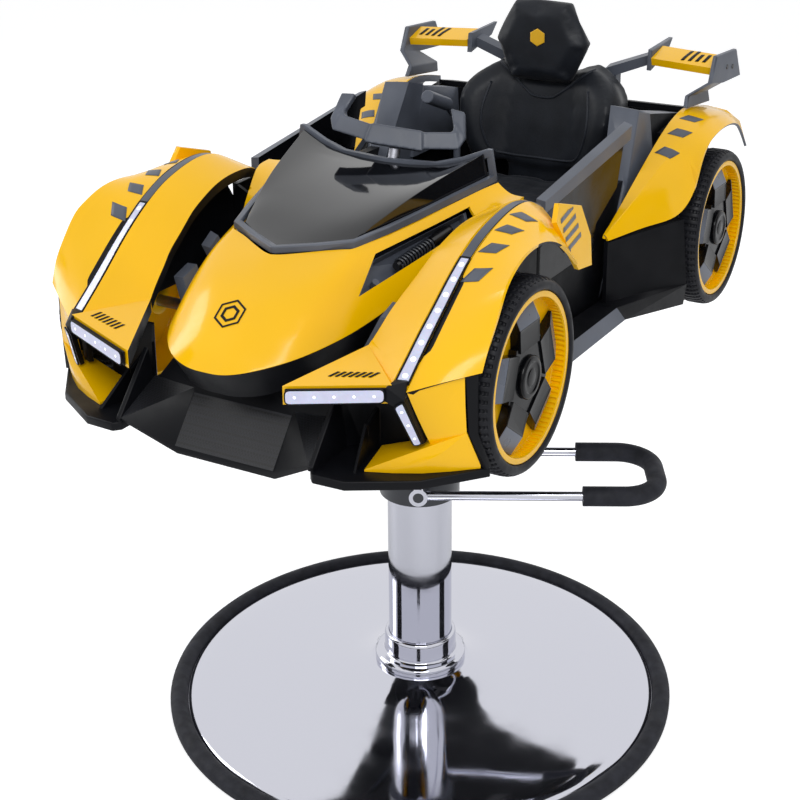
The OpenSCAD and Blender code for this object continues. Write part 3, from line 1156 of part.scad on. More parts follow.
module door_right() mirror([1, 0, 0]) door();

// Wheels: drawn about their own axis, with the tyre's middle at x = 0 and the outside towards +x
module at_wheel(side, y) car() translate([side*wheel_x, y, axle_z]) rotate(side > 0 ? 0 : 180) children();

tyre_line_shares = [
    [0.500, 0.10], [0.500, 0.55], [0.470, 0.82], [0.400, 0.97], [0.300, 1.00],
    [-0.300, 1.00], [-0.400, 0.97], [-0.470, 0.82], [-0.500, 0.55], [-0.500, 0.10]
];

module turned(points) rotate([0, 90, 0]) rotate([0, 0, 90]) rotate_extrude() polygon(points);

module tyre() color(black) turned(concat(
    [for (s = tyre_line_shares) [rim_r + s[1]*sidewall, s[0]*tyre_w]],
    [[rim_r + play, -tyre_w*0.44], [rim_r + play, tyre_w*0.44]]));

dish_share = 0.236;
lip_share = 0.46;
hub_dip_share = 0.42;

module rim() color(yellow) turned([
    [rim_r, tyre_w*lip_share], [rim_r - rim_t*2, tyre_w*lip_share], [rim_r - rim_t*2, tyre_w*dish_share],
    [hub_d*hub_dip_share, tyre_w*dish_share], [hub_d*hub_dip_share, hub_face], [axle_d/2 + play, hub_face],
    [axle_d/2 + play, -tyre_w*lip_share], [hub_d/2, -tyre_w*lip_share],
    [hub_d/2, tyre_w*dish_share - rim_t], [rim_r - rim_t, tyre_w*dish_share - rim_t],
    [rim_r - rim_t, -tyre_w*lip_share], [rim_r, -tyre_w*lip_share]]);

// The cover: arms with slanting ends on a five-sided web, and a cap over the axle's nut
arm_place_shares = [
    [0.240, -0.245, 0.36], [0.240, 0.245, 0.36], [0.425, -0.245, 0.36], [0.425, 0.245, 0.36],
    [0.240, -0.29, 0.865], [0.240, 0.20, 0.885], [0.300, -0.29, 0.865], [0.300, 0.20, 0.885],
    [0.425, -0.27, 0.64], [0.425, 0.24, 0.64]
];
web_from_share = 0.252;
web_to_share = 0.39;
web_r_share = 0.52;
cap_share = 0.26;
cap_from_share = 0.36;
cap_to_share = 0.47;
nut_room = 3;

module wheel_cover() color(gloss_black) {
    translate([tyre_w*cap_from_share, 0, 0]) rotate([0, 90, 0])
        cylinder(h = tyre_w*(cap_to_share - cap_from_share), r = rim_r*cap_share);
    difference() {
        union() {
            translate([tyre_w*web_from_share, 0, 0]) rotate([0, 90, 0])
                cylinder(h = tyre_w*(web_to_share - web_from_share), r = rim_r*web_r_share,
                    $fn = cover_arms);
            for (k = [0:cover_arms - 1]) rotate([k*360/cover_arms, 0, 0])
                solid([for (p = arm_place_shares) [p[0]*tyre_w, p[1]*rim_r, p[2]*rim_r]]);
        }
        rotate([0, 90, 0]) cylinder(h = tyre_w*cap_from_share, r = axle_d*nut_share + nut_room);
    }
}

module tyre_front_left() at_wheel(1, 0) tyre();

module rim_front_left() at_wheel(1, 0) rim();

module wheel_cover_front_left() at_wheel(1, 0) wheel_cover();

module tyre_front_right() at_wheel(-1, 0) tyre();

module rim_front_right() at_wheel(-1, 0) rim();

module wheel_cover_front_right() at_wheel(-1, 0) wheel_cover();

module tyre_rear_left() at_wheel(1, wheelbase) tyre();

module rim_rear_left() at_wheel(1, wheelbase) rim();

module wheel_cover_rear_left() at_wheel(1, wheelbase) wheel_cover();

module tyre_rear_right() at_wheel(-1, wheelbase) tyre();

module rim_rear_right() at_wheel(-1, wheelbase) rim();

module wheel_cover_rear_right() at_wheel(-1, wheelbase) wheel_cover();

base_plate();
base_bolts();
base_cover();
base_trim_ring();
pump_cylinder();
column_tube();
column_collar();
pump_head();
pump_lever();
lever_grip();
ram();
mount_plate();
mount_bolts();
support_frame();
chassis_floor();
cockpit_tub();
dashboard();
front_axle();
rear_axle();
suspension_arms();
arch_liners();
side_skirts();
hood();
windshield();
windshield_frame();
front_fender_left();
front_fender_right();
fender_bands();
led_housings();
led_lenses();
front_bumper();
splitter();
side_vents();
dampers();
damper_springs();
rear_fender_left();
rear_fender_right();
rear_deck();
wing_blades();
wing_plates();
seat_cushion();
seat_back();
headrest();
steering_shaft();
steering_yoke();
side_lever();
door_left();
door_right();
tyre_front_left();
rim_front_left();
wheel_cover_front_left();
tyre_front_right();
rim_front_right();
wheel_cover_front_right();
tyre_rear_left();
rim_rear_left();
wheel_cover_rear_left();
tyre_rear_right();
rim_rear_right();
wheel_cover_rear_right();
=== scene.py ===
"""A children's race car chair on a chromed hydraulic pedestal: its looks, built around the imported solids."""

import json
import math

import bmesh
import bpy
from bpy.props import FloatProperty, FloatVectorProperty, IntProperty, PointerProperty
from mathutils import Matrix, Vector
from mathutils.bvhtree import BVHTree

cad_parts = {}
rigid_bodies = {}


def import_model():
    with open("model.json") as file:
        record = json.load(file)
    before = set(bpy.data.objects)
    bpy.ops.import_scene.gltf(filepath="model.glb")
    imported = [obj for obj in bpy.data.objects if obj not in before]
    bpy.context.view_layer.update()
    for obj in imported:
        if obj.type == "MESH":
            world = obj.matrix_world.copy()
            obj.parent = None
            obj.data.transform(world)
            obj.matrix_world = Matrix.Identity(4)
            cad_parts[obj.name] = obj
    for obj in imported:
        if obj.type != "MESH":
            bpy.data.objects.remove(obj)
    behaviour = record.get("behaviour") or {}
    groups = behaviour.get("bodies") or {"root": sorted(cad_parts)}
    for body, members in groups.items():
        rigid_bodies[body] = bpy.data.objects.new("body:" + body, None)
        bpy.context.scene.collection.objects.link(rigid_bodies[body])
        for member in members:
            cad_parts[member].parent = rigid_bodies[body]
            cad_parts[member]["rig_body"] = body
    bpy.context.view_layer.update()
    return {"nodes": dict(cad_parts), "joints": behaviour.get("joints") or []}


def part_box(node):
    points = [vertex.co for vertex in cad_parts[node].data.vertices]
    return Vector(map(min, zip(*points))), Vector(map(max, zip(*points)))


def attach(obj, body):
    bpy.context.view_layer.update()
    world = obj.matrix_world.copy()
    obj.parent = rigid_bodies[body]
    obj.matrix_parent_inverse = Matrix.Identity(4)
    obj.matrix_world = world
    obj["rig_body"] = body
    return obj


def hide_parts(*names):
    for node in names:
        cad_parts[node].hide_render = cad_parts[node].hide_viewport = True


bl_info = {
    "name": "Race Car Salon Chair",
    "version": (1, 0, 0),
    "blender": (4, 5, 0),
    "location": "View3D > Sidebar > Chair",
    "description": "Builds a children's race car chair on a hydraulic pedestal",
    "category": "Object",
}

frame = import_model()

WHEELS = ("front_left", "front_right", "rear_left", "rear_right")
SIDES = (("left", 1), ("right", -1))
MM = 0.001
PRINT_LIFT, PRINT_WALL = 0.0003, 0.0004


# Colours and nodes

def linear(value):
    """Turns an sRGB hex colour to a linear one with an alpha of 1."""
    parts = [int(value[i:i + 2], 16)/255 for i in (1, 3, 5)]
    return (*[c/12.92 if c <= 0.04045 else ((c + 0.055)/1.055)**2.4 for c in parts], 1.0)


def add(tree, kind, links=None, **settings):
    """Adds a node, gives it its settings, and fills or links its inputs."""
    made = tree.nodes.new("ShaderNode" + kind)
    for key, value in settings.items():
        setattr(made, key, value)
    for socket, source in (links or {}).items():
        target = made.inputs[socket]
        if isinstance(source, bpy.types.NodeSocket):
            tree.links.new(source, target)
        else:
            target.default_value = source
    return made


def noise(tree, grain_mm, detail, stretch=(1, 1, 1)):
    """A noise whose grains measure about grain_mm on the object."""
    place = add(tree, "TexCoord").outputs["Object"]
    stretched = add(tree, "Mapping", {"Vector": place, "Scale": stretch}).outputs[0]
    return add(tree, "TexNoise", {"Vector": stretched, "Scale": 1/(grain_mm*MM),
                                  "Detail": detail}).outputs["Fac"]


NOISE_LOW, NOISE_HIGH = 0.3, 0.7


def spread(tree, value, low, high):
    """Maps the middle of a noise's range to low and high."""
    return add(tree, "MapRange", {"Value": value, 1: NOISE_LOW, 2: NOISE_HIGH, 3: low, 4: high}).outputs[0]


def bumped(tree, shader, height, depth_mm, strength):
    """Gives the shader a relief of the given depth."""
    relief = add(tree, "Bump", {"Height": height, "Distance": depth_mm*MM, "Strength": strength})
    tree.links.new(relief.outputs[0], shader.inputs["Normal"])


def tinted(tree, shader, factor, colour, other):
    """Mixes two colours by a factor into the base colour."""
    mixed = add(tree, "Mix", {0: factor, 6: colour, 7: other}, data_type="RGBA")
    tree.links.new(mixed.outputs[2], shader.inputs["Base Color"])


def deeper(colour, share):
    """The same colour, darker or lighter by a share."""
    return (*[min(1, c*share) for c in colour[:3]], 1.0)


def surface(name, colour=None, tint=None, rough=None, relief=None, **sockets):
    """A material with one Principled shader, returned with its tree and its shader.

    tint, rough and relief each start with a noise's grain in mm and its detail. tint ends with two shares of
    the colour, rough with two roughnesses and where needed a stretch, and relief with a depth in mm and a
    strength.
    """
    made = bpy.data.materials.new(name)
    made.use_nodes = True
    tree = made.node_tree
    tree.nodes.clear()
    shader = add(tree, "BsdfPrincipled", {k.replace("_", " "): v for k, v in sockets.items()})
    add(tree, "OutputMaterial", {"Surface": shader.outputs[0]})
    if tint:
        *grain, low, high = tint
        tinted(tree, shader, spread(tree, noise(tree, *grain), 0, 1),
               deeper(colour, low), deeper(colour, high))
    if rough:
        grain_mm, detail, low, high, *stretch = rough
        roughness = spread(tree, noise(tree, grain_mm, detail, *stretch), low, high)
        tree.links.new(roughness, shader.inputs["Roughness"])
    if relief:
        *grain, depth_mm, strength = relief
        bumped(tree, shader, noise(tree, *grain), depth_mm, strength)
    return made, tree, shader


# Sizes and colours that a user would change

def colour_prop(name, description, value):
    return FloatVectorProperty(name=name, description=description, subtype="COLOR", size=4, min=0, max=1,
                               default=linear(value))


def length_prop(name, description, default_mm, low_mm, high_mm):
    return FloatProperty(name=name, description=description, subtype="DISTANCE", unit="LENGTH",
                         default=default_mm*MM, min=low_mm*MM, max=high_mm*MM)


class ChairColours(bpy.types.PropertyGroup):
    """Colours of the chair's finishes"""
    shell: colour_prop("Shell", "Colour of the glossy mouldings", "#FFC400")
    black: colour_prop("Black mouldings", "Colour of the grained black mouldings", "#0D0E12")
    grey: colour_prop("Grey mouldings", "Colour of the satin grey mouldings", "#565B66")
    leather: colour_prop("Seat", "Colour of the seat's artificial leather", "#191C22")
    lamp: colour_prop("Lamps", "Colour of the lamps' lenses", "#CFD1EA")
    chrome: colour_prop("Chrome", "Tint of the chromed pedestal", "#CDCED8")
    rubber: colour_prop("Rubber", "Colour of the rubber ring and grips", "#24252B")


class ChairSizes(bpy.types.PropertyGroup):
    """Sizes of the chair's finer details"""
    edge: length_prop("Edge radius", "Rounding of the mouldings' edges", 1.2, 0.3, 3)
    tread: length_prop("Tread depth", "Depth of the tyres' lateral grooves", 2.4, 0.5, 4)
    grooves: IntProperty(name="Tread grooves", description="Grooves round each tyre",
                         default=72, min=24, max=96)
    led_pitch: length_prop("Lamp pitch", "Distance between the bright points of a lamp", 24, 8, 40)
    piping: length_prop("Piping", "Thickness of the welt sewn on the seat", 4.4, 1.5, 7)
    puff: length_prop("Puff", "How far the pads may swell", 5, 1, 9)


# Finishes. Each is made once, when a piece first asks for it

def gloss_shell(name, colour, gloss=0.34, coat=0.12):
    """Injection-moulded ABS, polished in the mould: a deep even colour under a clear, slightly wavy gloss."""
    return surface(name, colour, (160, 2, 0.93, 1), (26, 6, 0.13, 0.24), (9, 1, 0.05, 0.25),
                   IOR=1.5, Specular_IOR_Level=gloss, Coat_Weight=coat, Coat_Roughness=0.04)[0]


def grained(name, colour, roughness, grain_mm=1.5, depth_mm=0.16, gloss=0.36):
    """Moulded polypropylene with a spark-eroded grain: dull, with soft lights.

    The real grain is finer. It is drawn at 1.2 to 1.5 mm so that it shows.
    """
    return surface(name, colour, (70, 4, 0.8, 1.15), (35, 5, roughness - 0.07, roughness + 0.08),
                   (grain_mm, 3, depth_mm, 0.55), IOR=1.49, Specular_IOR_Level=gloss)[0]


def chrome_plate(name, colour):
    """Nickel-chromium plate on polished steel: a mirror with faint wiping marks and fine pits."""
    return surface(name, rough=(60, 7, 0.03, 0.11, (1, 1, 4)), relief=(45, 2, 0.06, 0.12),
                   Base_Color=colour, Metallic=1.0)[0]


def bare_steel(name, colour):
    """Zinc-plated steel as it leaves the bath: grey, satin and a little cloudy."""
    return surface(name, colour, (18, 5, 0.85, 1), (8, 4, 0.30, 0.46), (2.5, 4, 0.05, 0.3), Metallic=1.0)[0]


def stoved_paint(name, colour):
    """Stove-enamelled steel: semi-gloss with the fine orange peel of powder paint."""
    return surface(name, colour, (50, 4, 0.85, 1.1), (20, 4, 0.26, 0.4), (3.2, 2, 0.09, 0.4),
                   IOR=1.5, Coat_Weight=0.2, Coat_Roughness=0.2)[0]


def moulded_rubber(name, colour, roughness, grain_mm=1.2):
    """Vulcanised rubber: nearly black, dull, with a grey bloom on its high places."""
    return surface(name, colour, (22, 6, 0.75, 1.5), (14, 4, roughness - 0.08, roughness + 0.1),
                   (grain_mm, 3, 0.12, 0.5), IOR=1.52, Specular_IOR_Level=0.18)[0]


def artificial_leather(name, colour):
    """Embossed PVC on a knitted backing: pebbles about 2 mm wide, a low sheen and worn, shinier tops."""
    made, tree, shader = surface(name, colour, (45, 5, 0.8, 1.35), (30, 5, 0.38, 0.56), IOR=1.5,
                                 Specular_IOR_Level=0.22, Sheen_Weight=0.05, Sheen_Roughness=0.4)
    place = add(tree, "TexCoord").outputs["Object"]
    moved = add(tree, "VectorMath", {0: place, 1: (0.0012, 0.0012, 0.0012)}, operation="ADD").outputs[0]
    pebbles = add(tree, "TexVoronoi", {"Vector": moved, "Scale": 1/(2.3*MM), "Randomness": 1.0},
                  feature="SMOOTH_F1").outputs["Distance"]
    height = add(tree, "Math", {0: pebbles, 1: noise(tree, 5, 2)}, operation="SUBTRACT").outputs[0]
    bumped(tree, shader, height, 0.22, 0.4)
    return made


def smoked_acrylic(name, colour):
    """Cast acrylic, smoked until it looks black: a flat mirror-like gloss over a dark body."""
    return surface(name, colour, (90, 3, 1, 1.6), (30, 6, 0.04, 0.1),
                   IOR=1.49, Coat_Weight=0.4, Coat_Roughness=0.03)[0]


def lamp_lens(name, colour):
    """Opal polycarbonate over a row of diodes: milky, with a soft light of its own."""
    return surface(name, colour, (12, 3, 0.9, 1), (6, 2, 0.15, 0.28), IOR=1.58, Emission_Color=colour,
                   Emission_Strength=0.1, Subsurface_Weight=0.25, Subsurface_Scale=0.004, Coat_Weight=0.4)[0]


def diode(name, colour):
    """A lit diode behind the lens: a small white glow that fades into the lens."""
    return surface(name, colour, (3, 1, 0.96, 1), Roughness=0.3, Emission_Color=colour,
                   Emission_Strength=0.45)[0]


def woven_film(name, colour):
    """Printed film in the pattern of a woven cloth, 6 mm to a repeat: dark squares that catch the light."""
    made, tree, shader = surface(name, IOR=1.5, Coat_Weight=0.3, Coat_Roughness=0.2)
    place = add(tree, "TexCoord").outputs["Object"]
    slanted = add(tree, "Mapping", {"Vector": place, "Rotation": (0.5, 0, math.pi/4)}).outputs[0]
    squares = add(tree, "TexChecker", {"Vector": slanted, "Scale": 1/(3.2*MM)}).outputs["Fac"]
    tinted(tree, shader, squares, deeper(colour, 0.55), deeper(colour, 2.6))
    tree.links.new(spread(tree, squares, 0.3, 0.5), shader.inputs["Roughness"])
    bumped(tree, shader, squares, 0.3, 0.5)
    return made


def embroidery(name, colour):
    """Satin-stitched polyester thread, laid side by side and drawn at 1 mm so that it shows."""
    made, tree, shader = surface(name, Roughness=0.5, Sheen_Weight=0.3, Sheen_Roughness=0.3)
    place = add(tree, "TexCoord").outputs["Object"]
    threads = add(tree, "TexWave", {"Vector": place, "Scale": 1/(6*MM), "Distortion": 0.6},
                  bands_direction="X").outputs["Fac"]
    tinted(tree, shader, threads, deeper(colour, 0.6), colour)
    bumped(tree, shader, threads, 0.4, 0.7)
    return made


FINISHES = {
    "shell": lambda c: gloss_shell("gloss_moulded_abs", c.shell),
    "black": lambda c: grained("grained_polypropylene", c.black, 0.42, gloss=0.16),
    "grey": lambda c: grained("satin_grey_polypropylene", c.grey, 0.38, 1.2, 0.1),
    # facet: a lighter grey that paints the highlight on the wheel covers' end facets, and is also the print
    # colour of the winglet's bars
    "facet": lambda c: grained("facet_highlight_and_print_grey", deeper(c.grey, 1.3), 0.3, 1.2, 0.06),
    "gloss_black": lambda c: gloss_shell("gloss_black_abs", deeper(c.black, 0.6), 0.2, 0.0),
    "glass": lambda c: smoked_acrylic("smoked_acrylic", deeper(c.black, 0.8)),
    "chrome": lambda c: chrome_plate("chrome_plate", c.chrome),
    "steel": lambda c: bare_steel("zinc_plated_steel", deeper(c.chrome, 0.6)),
    "paint": lambda c: stoved_paint("stoved_black_paint", deeper(c.black, 0.8)),
    "grey_paint": lambda c: stoved_paint("stoved_grey_paint", deeper(c.grey, 0.35)),
    "rubber": lambda c: moulded_rubber("vulcanised_rubber", c.rubber, 0.62),
    "tyre": lambda c: moulded_rubber("tyre_rubber", deeper(c.rubber, 0.5), 0.44, 2.0),
    "leather": lambda c: artificial_leather("artificial_leather", c.leather),
    "welt": lambda c: artificial_leather("welt_leather", deeper(c.leather, 1.5)),
    "lens": lambda c: lamp_lens("opal_polycarbonate", c.lamp),
    "diode": lambda c: diode("lit_diode", linear("#FFFFFF")),
    "film": lambda c: woven_film("woven_look_film", c.black),
    "thread": lambda c: embroidery("satin_stitch", c.shell),
}
made_finishes = {}


def finish(name):
    """The material of a finish, made from the scene's colours when it is first asked for."""
    if name not in made_finishes:
        made_finishes[name] = FINISHES[name](bpy.context.scene.chair_colours)
    return made_finishes[name]


# Making and finishing pieces

def body_of(node):
    return frame["nodes"][node]["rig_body"]


def linked(name, bm):
    """An object in the scene with the faces of a bmesh, which is freed."""
    mesh = bpy.data.meshes.new(name)
    bm.to_mesh(mesh)
    bm.free()
    made = bpy.data.objects.new(name, mesh)
    bpy.context.scene.collection.objects.link(made)
    return made


def piece(name, bm, finishes, slot, node=None, smooth=True):
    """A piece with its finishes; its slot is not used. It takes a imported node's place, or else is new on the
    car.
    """
    for f in bm.faces:
        f.smooth = smooth
    made = linked(name, bm)
    for each in [finishes] if isinstance(finishes, str) else finishes:
        made.data.materials.append(finish(each))
    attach(made, body_of(node) if node else "car")
    if node:
        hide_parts(node)
    return made


def rounded(made, width, segments=2, angle=28, by_weight=False):
    """Rounds the sharp or weighed edges, and keeps the light flat on the faces between them."""
    bevel = made.modifiers.new("edges", "BEVEL")
    bevel.width, bevel.segments, bevel.profile = width, segments, 0.5
    bevel.limit_method, bevel.angle_limit = "WEIGHT" if by_weight else "ANGLE", math.radians(angle)
    bevel.use_clamp_overlap, bevel.miter_outer, bevel.material = False, "MITER_ARC", -1
    weighted = made.modifiers.new("normals", "WEIGHTED_NORMAL")
    weighted.keep_sharp, weighted.weight = True, 60
    return made


def subdivided(made, levels):
    sub = made.modifiers.new("smooth", "SUBSURF")
    sub.levels = sub.render_levels = levels


def melted(made, voxel):
    """Melts an object's blocks into each other."""
    melt = made.modifiers.new("melt", "REMESH")
    melt.mode, melt.voxel_size, melt.use_smooth_shade = "VOXEL", voxel, True


def softened(made, iterations):
    soften = made.modifiers.new("soften", "SMOOTH")
    soften.factor, soften.iterations = 0.5, iterations


def from_node(node, quads=False):
    """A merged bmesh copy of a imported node, with flat faces joined, or with its triangles paired to quads."""
    merge, shortest = 2e-5, 0.0006
    bm = bmesh.new()
    bm.from_mesh(frame["nodes"][node].data)
    bmesh.ops.remove_doubles(bm, verts=bm.verts[:], dist=merge)
    if quads:
        bmesh.ops.join_triangles(bm, faces=bm.faces[:], angle_face_threshold=math.radians(30),
                                 angle_shape_threshold=math.radians(70))
    else:
        bmesh.ops.dissolve_degenerate(bm, dist=shortest, edges=bm.edges[:])
        bmesh.ops.dissolve_limit(bm, angle_limit=math.radians(0.8), use_dissolve_boundaries=False,
                                 verts=bm.verts[:], edges=bm.edges[:])
    return bm


def sharp(edge, angle):
    return len(edge.link_faces) != 2 or edge.calc_face_angle(0) > math.radians(angle)


def creased(bm, angle):
    """Keeps sharp edges sharp under subdivision, and the corners of their outlines too."""
    straightest = -math.cos(math.radians(24))
    edges = bm.edges.layers.float.new("crease_edge")
    corners = bm.verts.layers.float.new("crease_vert")
    for e in bm.edges:
        if sharp(e, angle):
            e[edges] = 1.0
    for v in bm.verts:
        ways = [(e.other_vert(v).co - v.co).normalized() for e in v.link_edges if e[edges] > 0]
        if len(ways) > 1 and min((a.dot(b) for a in ways for b in ways), default=1) > straightest:
            v[corners] = 1.0


def weighed(bm, width, angle=28):
    """Marks the sharp edges that have room for a rounding of the given width, and leaves the others crisp."""
    room, tightest = 3*width, math.radians(22)
    layer = bm.edges.layers.float.new("bevel_weight_edge")
    for e in bm.edges:
        if sharp(e, angle) and e.link_faces:
            near = min(n.calc_length() for v in e.verts for n in v.link_edges)
            tight = min(corner.calc_angle() for v in e.verts for corner in v.link_loops)
            if near > room and tight > tightest:
                e[layer] = 1.0
            else:
                e.smooth = False


def copy_piece(name, node, finishes, slot, levels=0, edge=None, choose=None, crease=30):
    """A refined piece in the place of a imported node: rounded edges, and a smooth skin if levels is above 0.

    choose gives each face the index of its finish, from its middle and its normal.
    """
    bm = from_node(node, levels > 0)
    edge = edge or bpy.context.scene.chair_sizes.edge
    bm.normal_update()
    if choose:
        for f in bm.faces:
            f.material_index = choose(f.calc_center_median(), f.normal)
    if levels:
        creased(bm, crease)
    weighed(bm, edge*(1 + levels))
    made = piece(name, bm, finishes, slot, node)
    if levels:
        subdivided(made, levels)
    return rounded(made, edge, by_weight=True)


def turned_mesh(profile, steps, axis="Z"):
    """A closed solid of revolution: profile lists (radius, place along the axis), as a closed ring."""
    bm = bmesh.new()
    around = {"X": Vector((1, 0, 0)), "Z": Vector((0, 0, 1))}[axis]
    across = {"X": Vector((0, 0, 1)), "Z": Vector((1, 0, 0))}[axis]
    verts = [bm.verts.new(across*r + around*a) for r, a in profile]
    edges = [bm.edges.new((verts[i], verts[(i + 1) % len(verts)])) for i in range(len(verts))
             if profile[i][0] or profile[(i + 1) % len(verts)][0]]
    bmesh.ops.spin(bm, geom=verts + edges, cent=(0, 0, 0), axis=around, angle=2*math.pi, steps=steps,
                   use_merge=True, use_normal_flip=False, use_duplicate=False)
    bmesh.ops.remove_doubles(bm, verts=bm.verts[:], dist=1e-5)
    bmesh.ops.recalc_face_normals(bm, faces=bm.faces[:])
    return bm


def turned_piece(name, ring, look, node, steps, *rounding):
    """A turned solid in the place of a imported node."""
    rounded(piece(name, turned_mesh(ring, steps), look, look, node), *rounding)


def curve_through(points, steps):
    """Points on a smooth curve through the given ones."""
    out = []
    for i in range(len(points) - 1):
        a, b, c, d = (Vector(points[min(max(k, 0), len(points) - 1)]) for k in (i - 1, i, i + 1, i + 2))
        for s in range(steps):
            t = s/steps
            out.append((2*b + (c - a)*t + (2*a - 5*b + 4*c - d)*t*t + (3*b - a - 3*c + d)*t**3)/2)
    return out + [Vector(points[-1])]


def tube(bm, points, radius, sides):
    """Adds a closed round tube along the points."""
    rings = []
    for i, p in enumerate(points):
        along = (points[min(i + 1, len(points) - 1)] - points[max(i - 1, 0)]).normalized()
        made = bmesh.ops.create_circle(bm, cap_ends=i in (0, len(points) - 1), segments=sides, radius=radius,
                                       matrix=Matrix.Translation(p) @ facing(along))
        rings.append(made["verts"])
    for one, two in zip(rings, rings[1:]):
        shift = min(range(sides), key=lambda k: (two[k].co - one[0].co).length)
        for k in range(sides):
            bm.faces.new((one[k], one[(k + 1) % sides],
                          two[(k + shift + 1) % sides], two[(k + shift) % sides]))


def facing(way):
    """A turn of the Z axis to a way."""
    return Vector((0, 0, 1)).rotation_difference(Vector(way)).to_matrix().to_4x4()


def skin_of(*objects):
    """A search tree over the finished surfaces of objects."""
    bm = bmesh.new()
    graph = bpy.context.evaluated_depsgraph_get()
    for o in objects:
        held = o.evaluated_get(graph)
        mesh = held.to_mesh()
        bm.from_mesh(mesh)
        held.to_mesh_clear()
    tree = BVHTree.FromBMesh(bm)
    bm.free()
    return tree


def laid_on(bm, tree, direction, lift):
    """Drops a flat shape along a direction onto a surface, and leaves out what misses it or tears."""
    start, most_stretch = 0.3, 3
    step = Vector(direction).normalized()
    flat = {e: e.calc_length() for e in bm.edges}
    missed = []
    for v in bm.verts:
        hit, normal, _, _ = tree.ray_cast(v.co - step*start, step)
        if hit:
            v.co = hit + (normal if normal.dot(step) < 0 else -normal)*lift
        else:
            missed.append(v)
    torn = {v for e, length in flat.items() if e.calc_length() > most_stretch*length for v in e.verts}
    bmesh.ops.delete(bm, geom=list(torn.union(missed)), context="VERTS")


def badge_ring(centre, radius, width, normal):
    """A flat six-sided ring, or a full hexagon where it is wide, finely divided and square to a direction."""
    bm = bmesh.new()
    made = bmesh.ops.create_circle(bm, cap_ends=True, segments=6, radius=radius,
                                   matrix=Matrix.Translation(centre) @ facing(normal))
    face = made["verts"][0].link_faces[0]
    bmesh.ops.inset_region(bm, faces=[face], thickness=width, use_boundary=True, use_even_offset=True)
    if width < radius/2:
        bmesh.ops.delete(bm, geom=[face], context="FACES")
    bmesh.ops.subdivide_edges(bm, edges=bm.edges[:], cuts=5, use_grid_fill=True)
    return bm


def join(bm, other):
    """Adds the second bmesh to the first, and frees it."""
    mesh = bpy.data.meshes.new("joined")
    other.to_mesh(mesh)
    other.free()
    bm.from_mesh(mesh)
    bpy.data.meshes.remove(mesh)


def walled(made, thickness):
    """Gives a sheet a wall on the outside."""
    solid = made.modifiers.new("wall", "SOLIDIFY")
    solid.thickness, solid.offset = thickness, 1.0


def row(start, step, count, s):
    """Places at even steps, mirrored to a side of the car."""
    return [Matrix.Translation((s*(start[0] + step[0]*k), start[1] + step[1]*k, start[2] + step[2]*k))
            for k in range(count)]


def stripes(name, skin, look, places, size, slant, direction):
    """Slanting bars, printed where they fall from their places onto a skin."""
    bars = bmesh.new()
    for place in places:
        made = bmesh.ops.create_grid(bars, x_segments=4, y_segments=6, size=0.5,
                                     matrix=Matrix.Diagonal((*size, 1, 1)))
        for v in made["verts"]:
            v.co.x += v.co.y*slant
            v.co = place @ v.co
    laid_on(bars, skin, direction, PRINT_LIFT)
    walled(piece(name, bars, look, "grey_plastic"), PRINT_WALL)


# Operators, one for each piece or group of like pieces

class ChairOperator(bpy.types.Operator):
    """Base of the chair's operators"""
    bl_options = {"REGISTER", "UNDO"}

    def execute(self, context):
        self.build(context.scene.chair_sizes)
        return {"FINISHED"}


# Outline of the pedestal's cover, as shares of its radius and of its height
COVER_SHARES = ((1.000, 0.00), (0.992, 0.10), (0.970, 0.17), (0.900, 0.26), (0.750, 0.37), (0.600, 0.46),
                (0.450, 0.55), (0.330, 0.66), (0.255, 0.82), (0.205, 1.00))
# Its wall, how far its mouth reaches in from there, and its wall's share across, where it runs nearly flat
COVER_WALL, COVER_MOUTH, COVER_SIDE = 0.0024, 0.038, 0.3
# Section of the rubber ring: how far in from its rim, and how high
RING_SECTION = ((0.0279, 0.0), (0.0020, 0.0), (0.0004, 0.0016), (0.0, 0.006), (0.0, 0.0095), (0.0016, 0.0135),
                (0.0050, 0.0168), (0.0100, 0.0190), (0.0150, 0.0197), (0.0200, 0.0185), (0.0245, 0.0155),
                (0.0279, 0.0105))
COLUMN_WALL = 0.004
# The collar: the height of its foot and its bore, then its section as radius and height over the foot, and
# near its top as radius and depth under the top
COLLAR_FOOT, COLLAR_BORE, FOOT_BEVEL = 0.015, 0.05005, 0.004
COLLAR_STEP = ((0.0605, 0), (0.0575, 0.002), (0.057, 0.004))
COLLAR_TOP = ((0.057, 0.008), (0.0555, 0.002), (0.0530, 0), (COLLAR_BORE, 0))


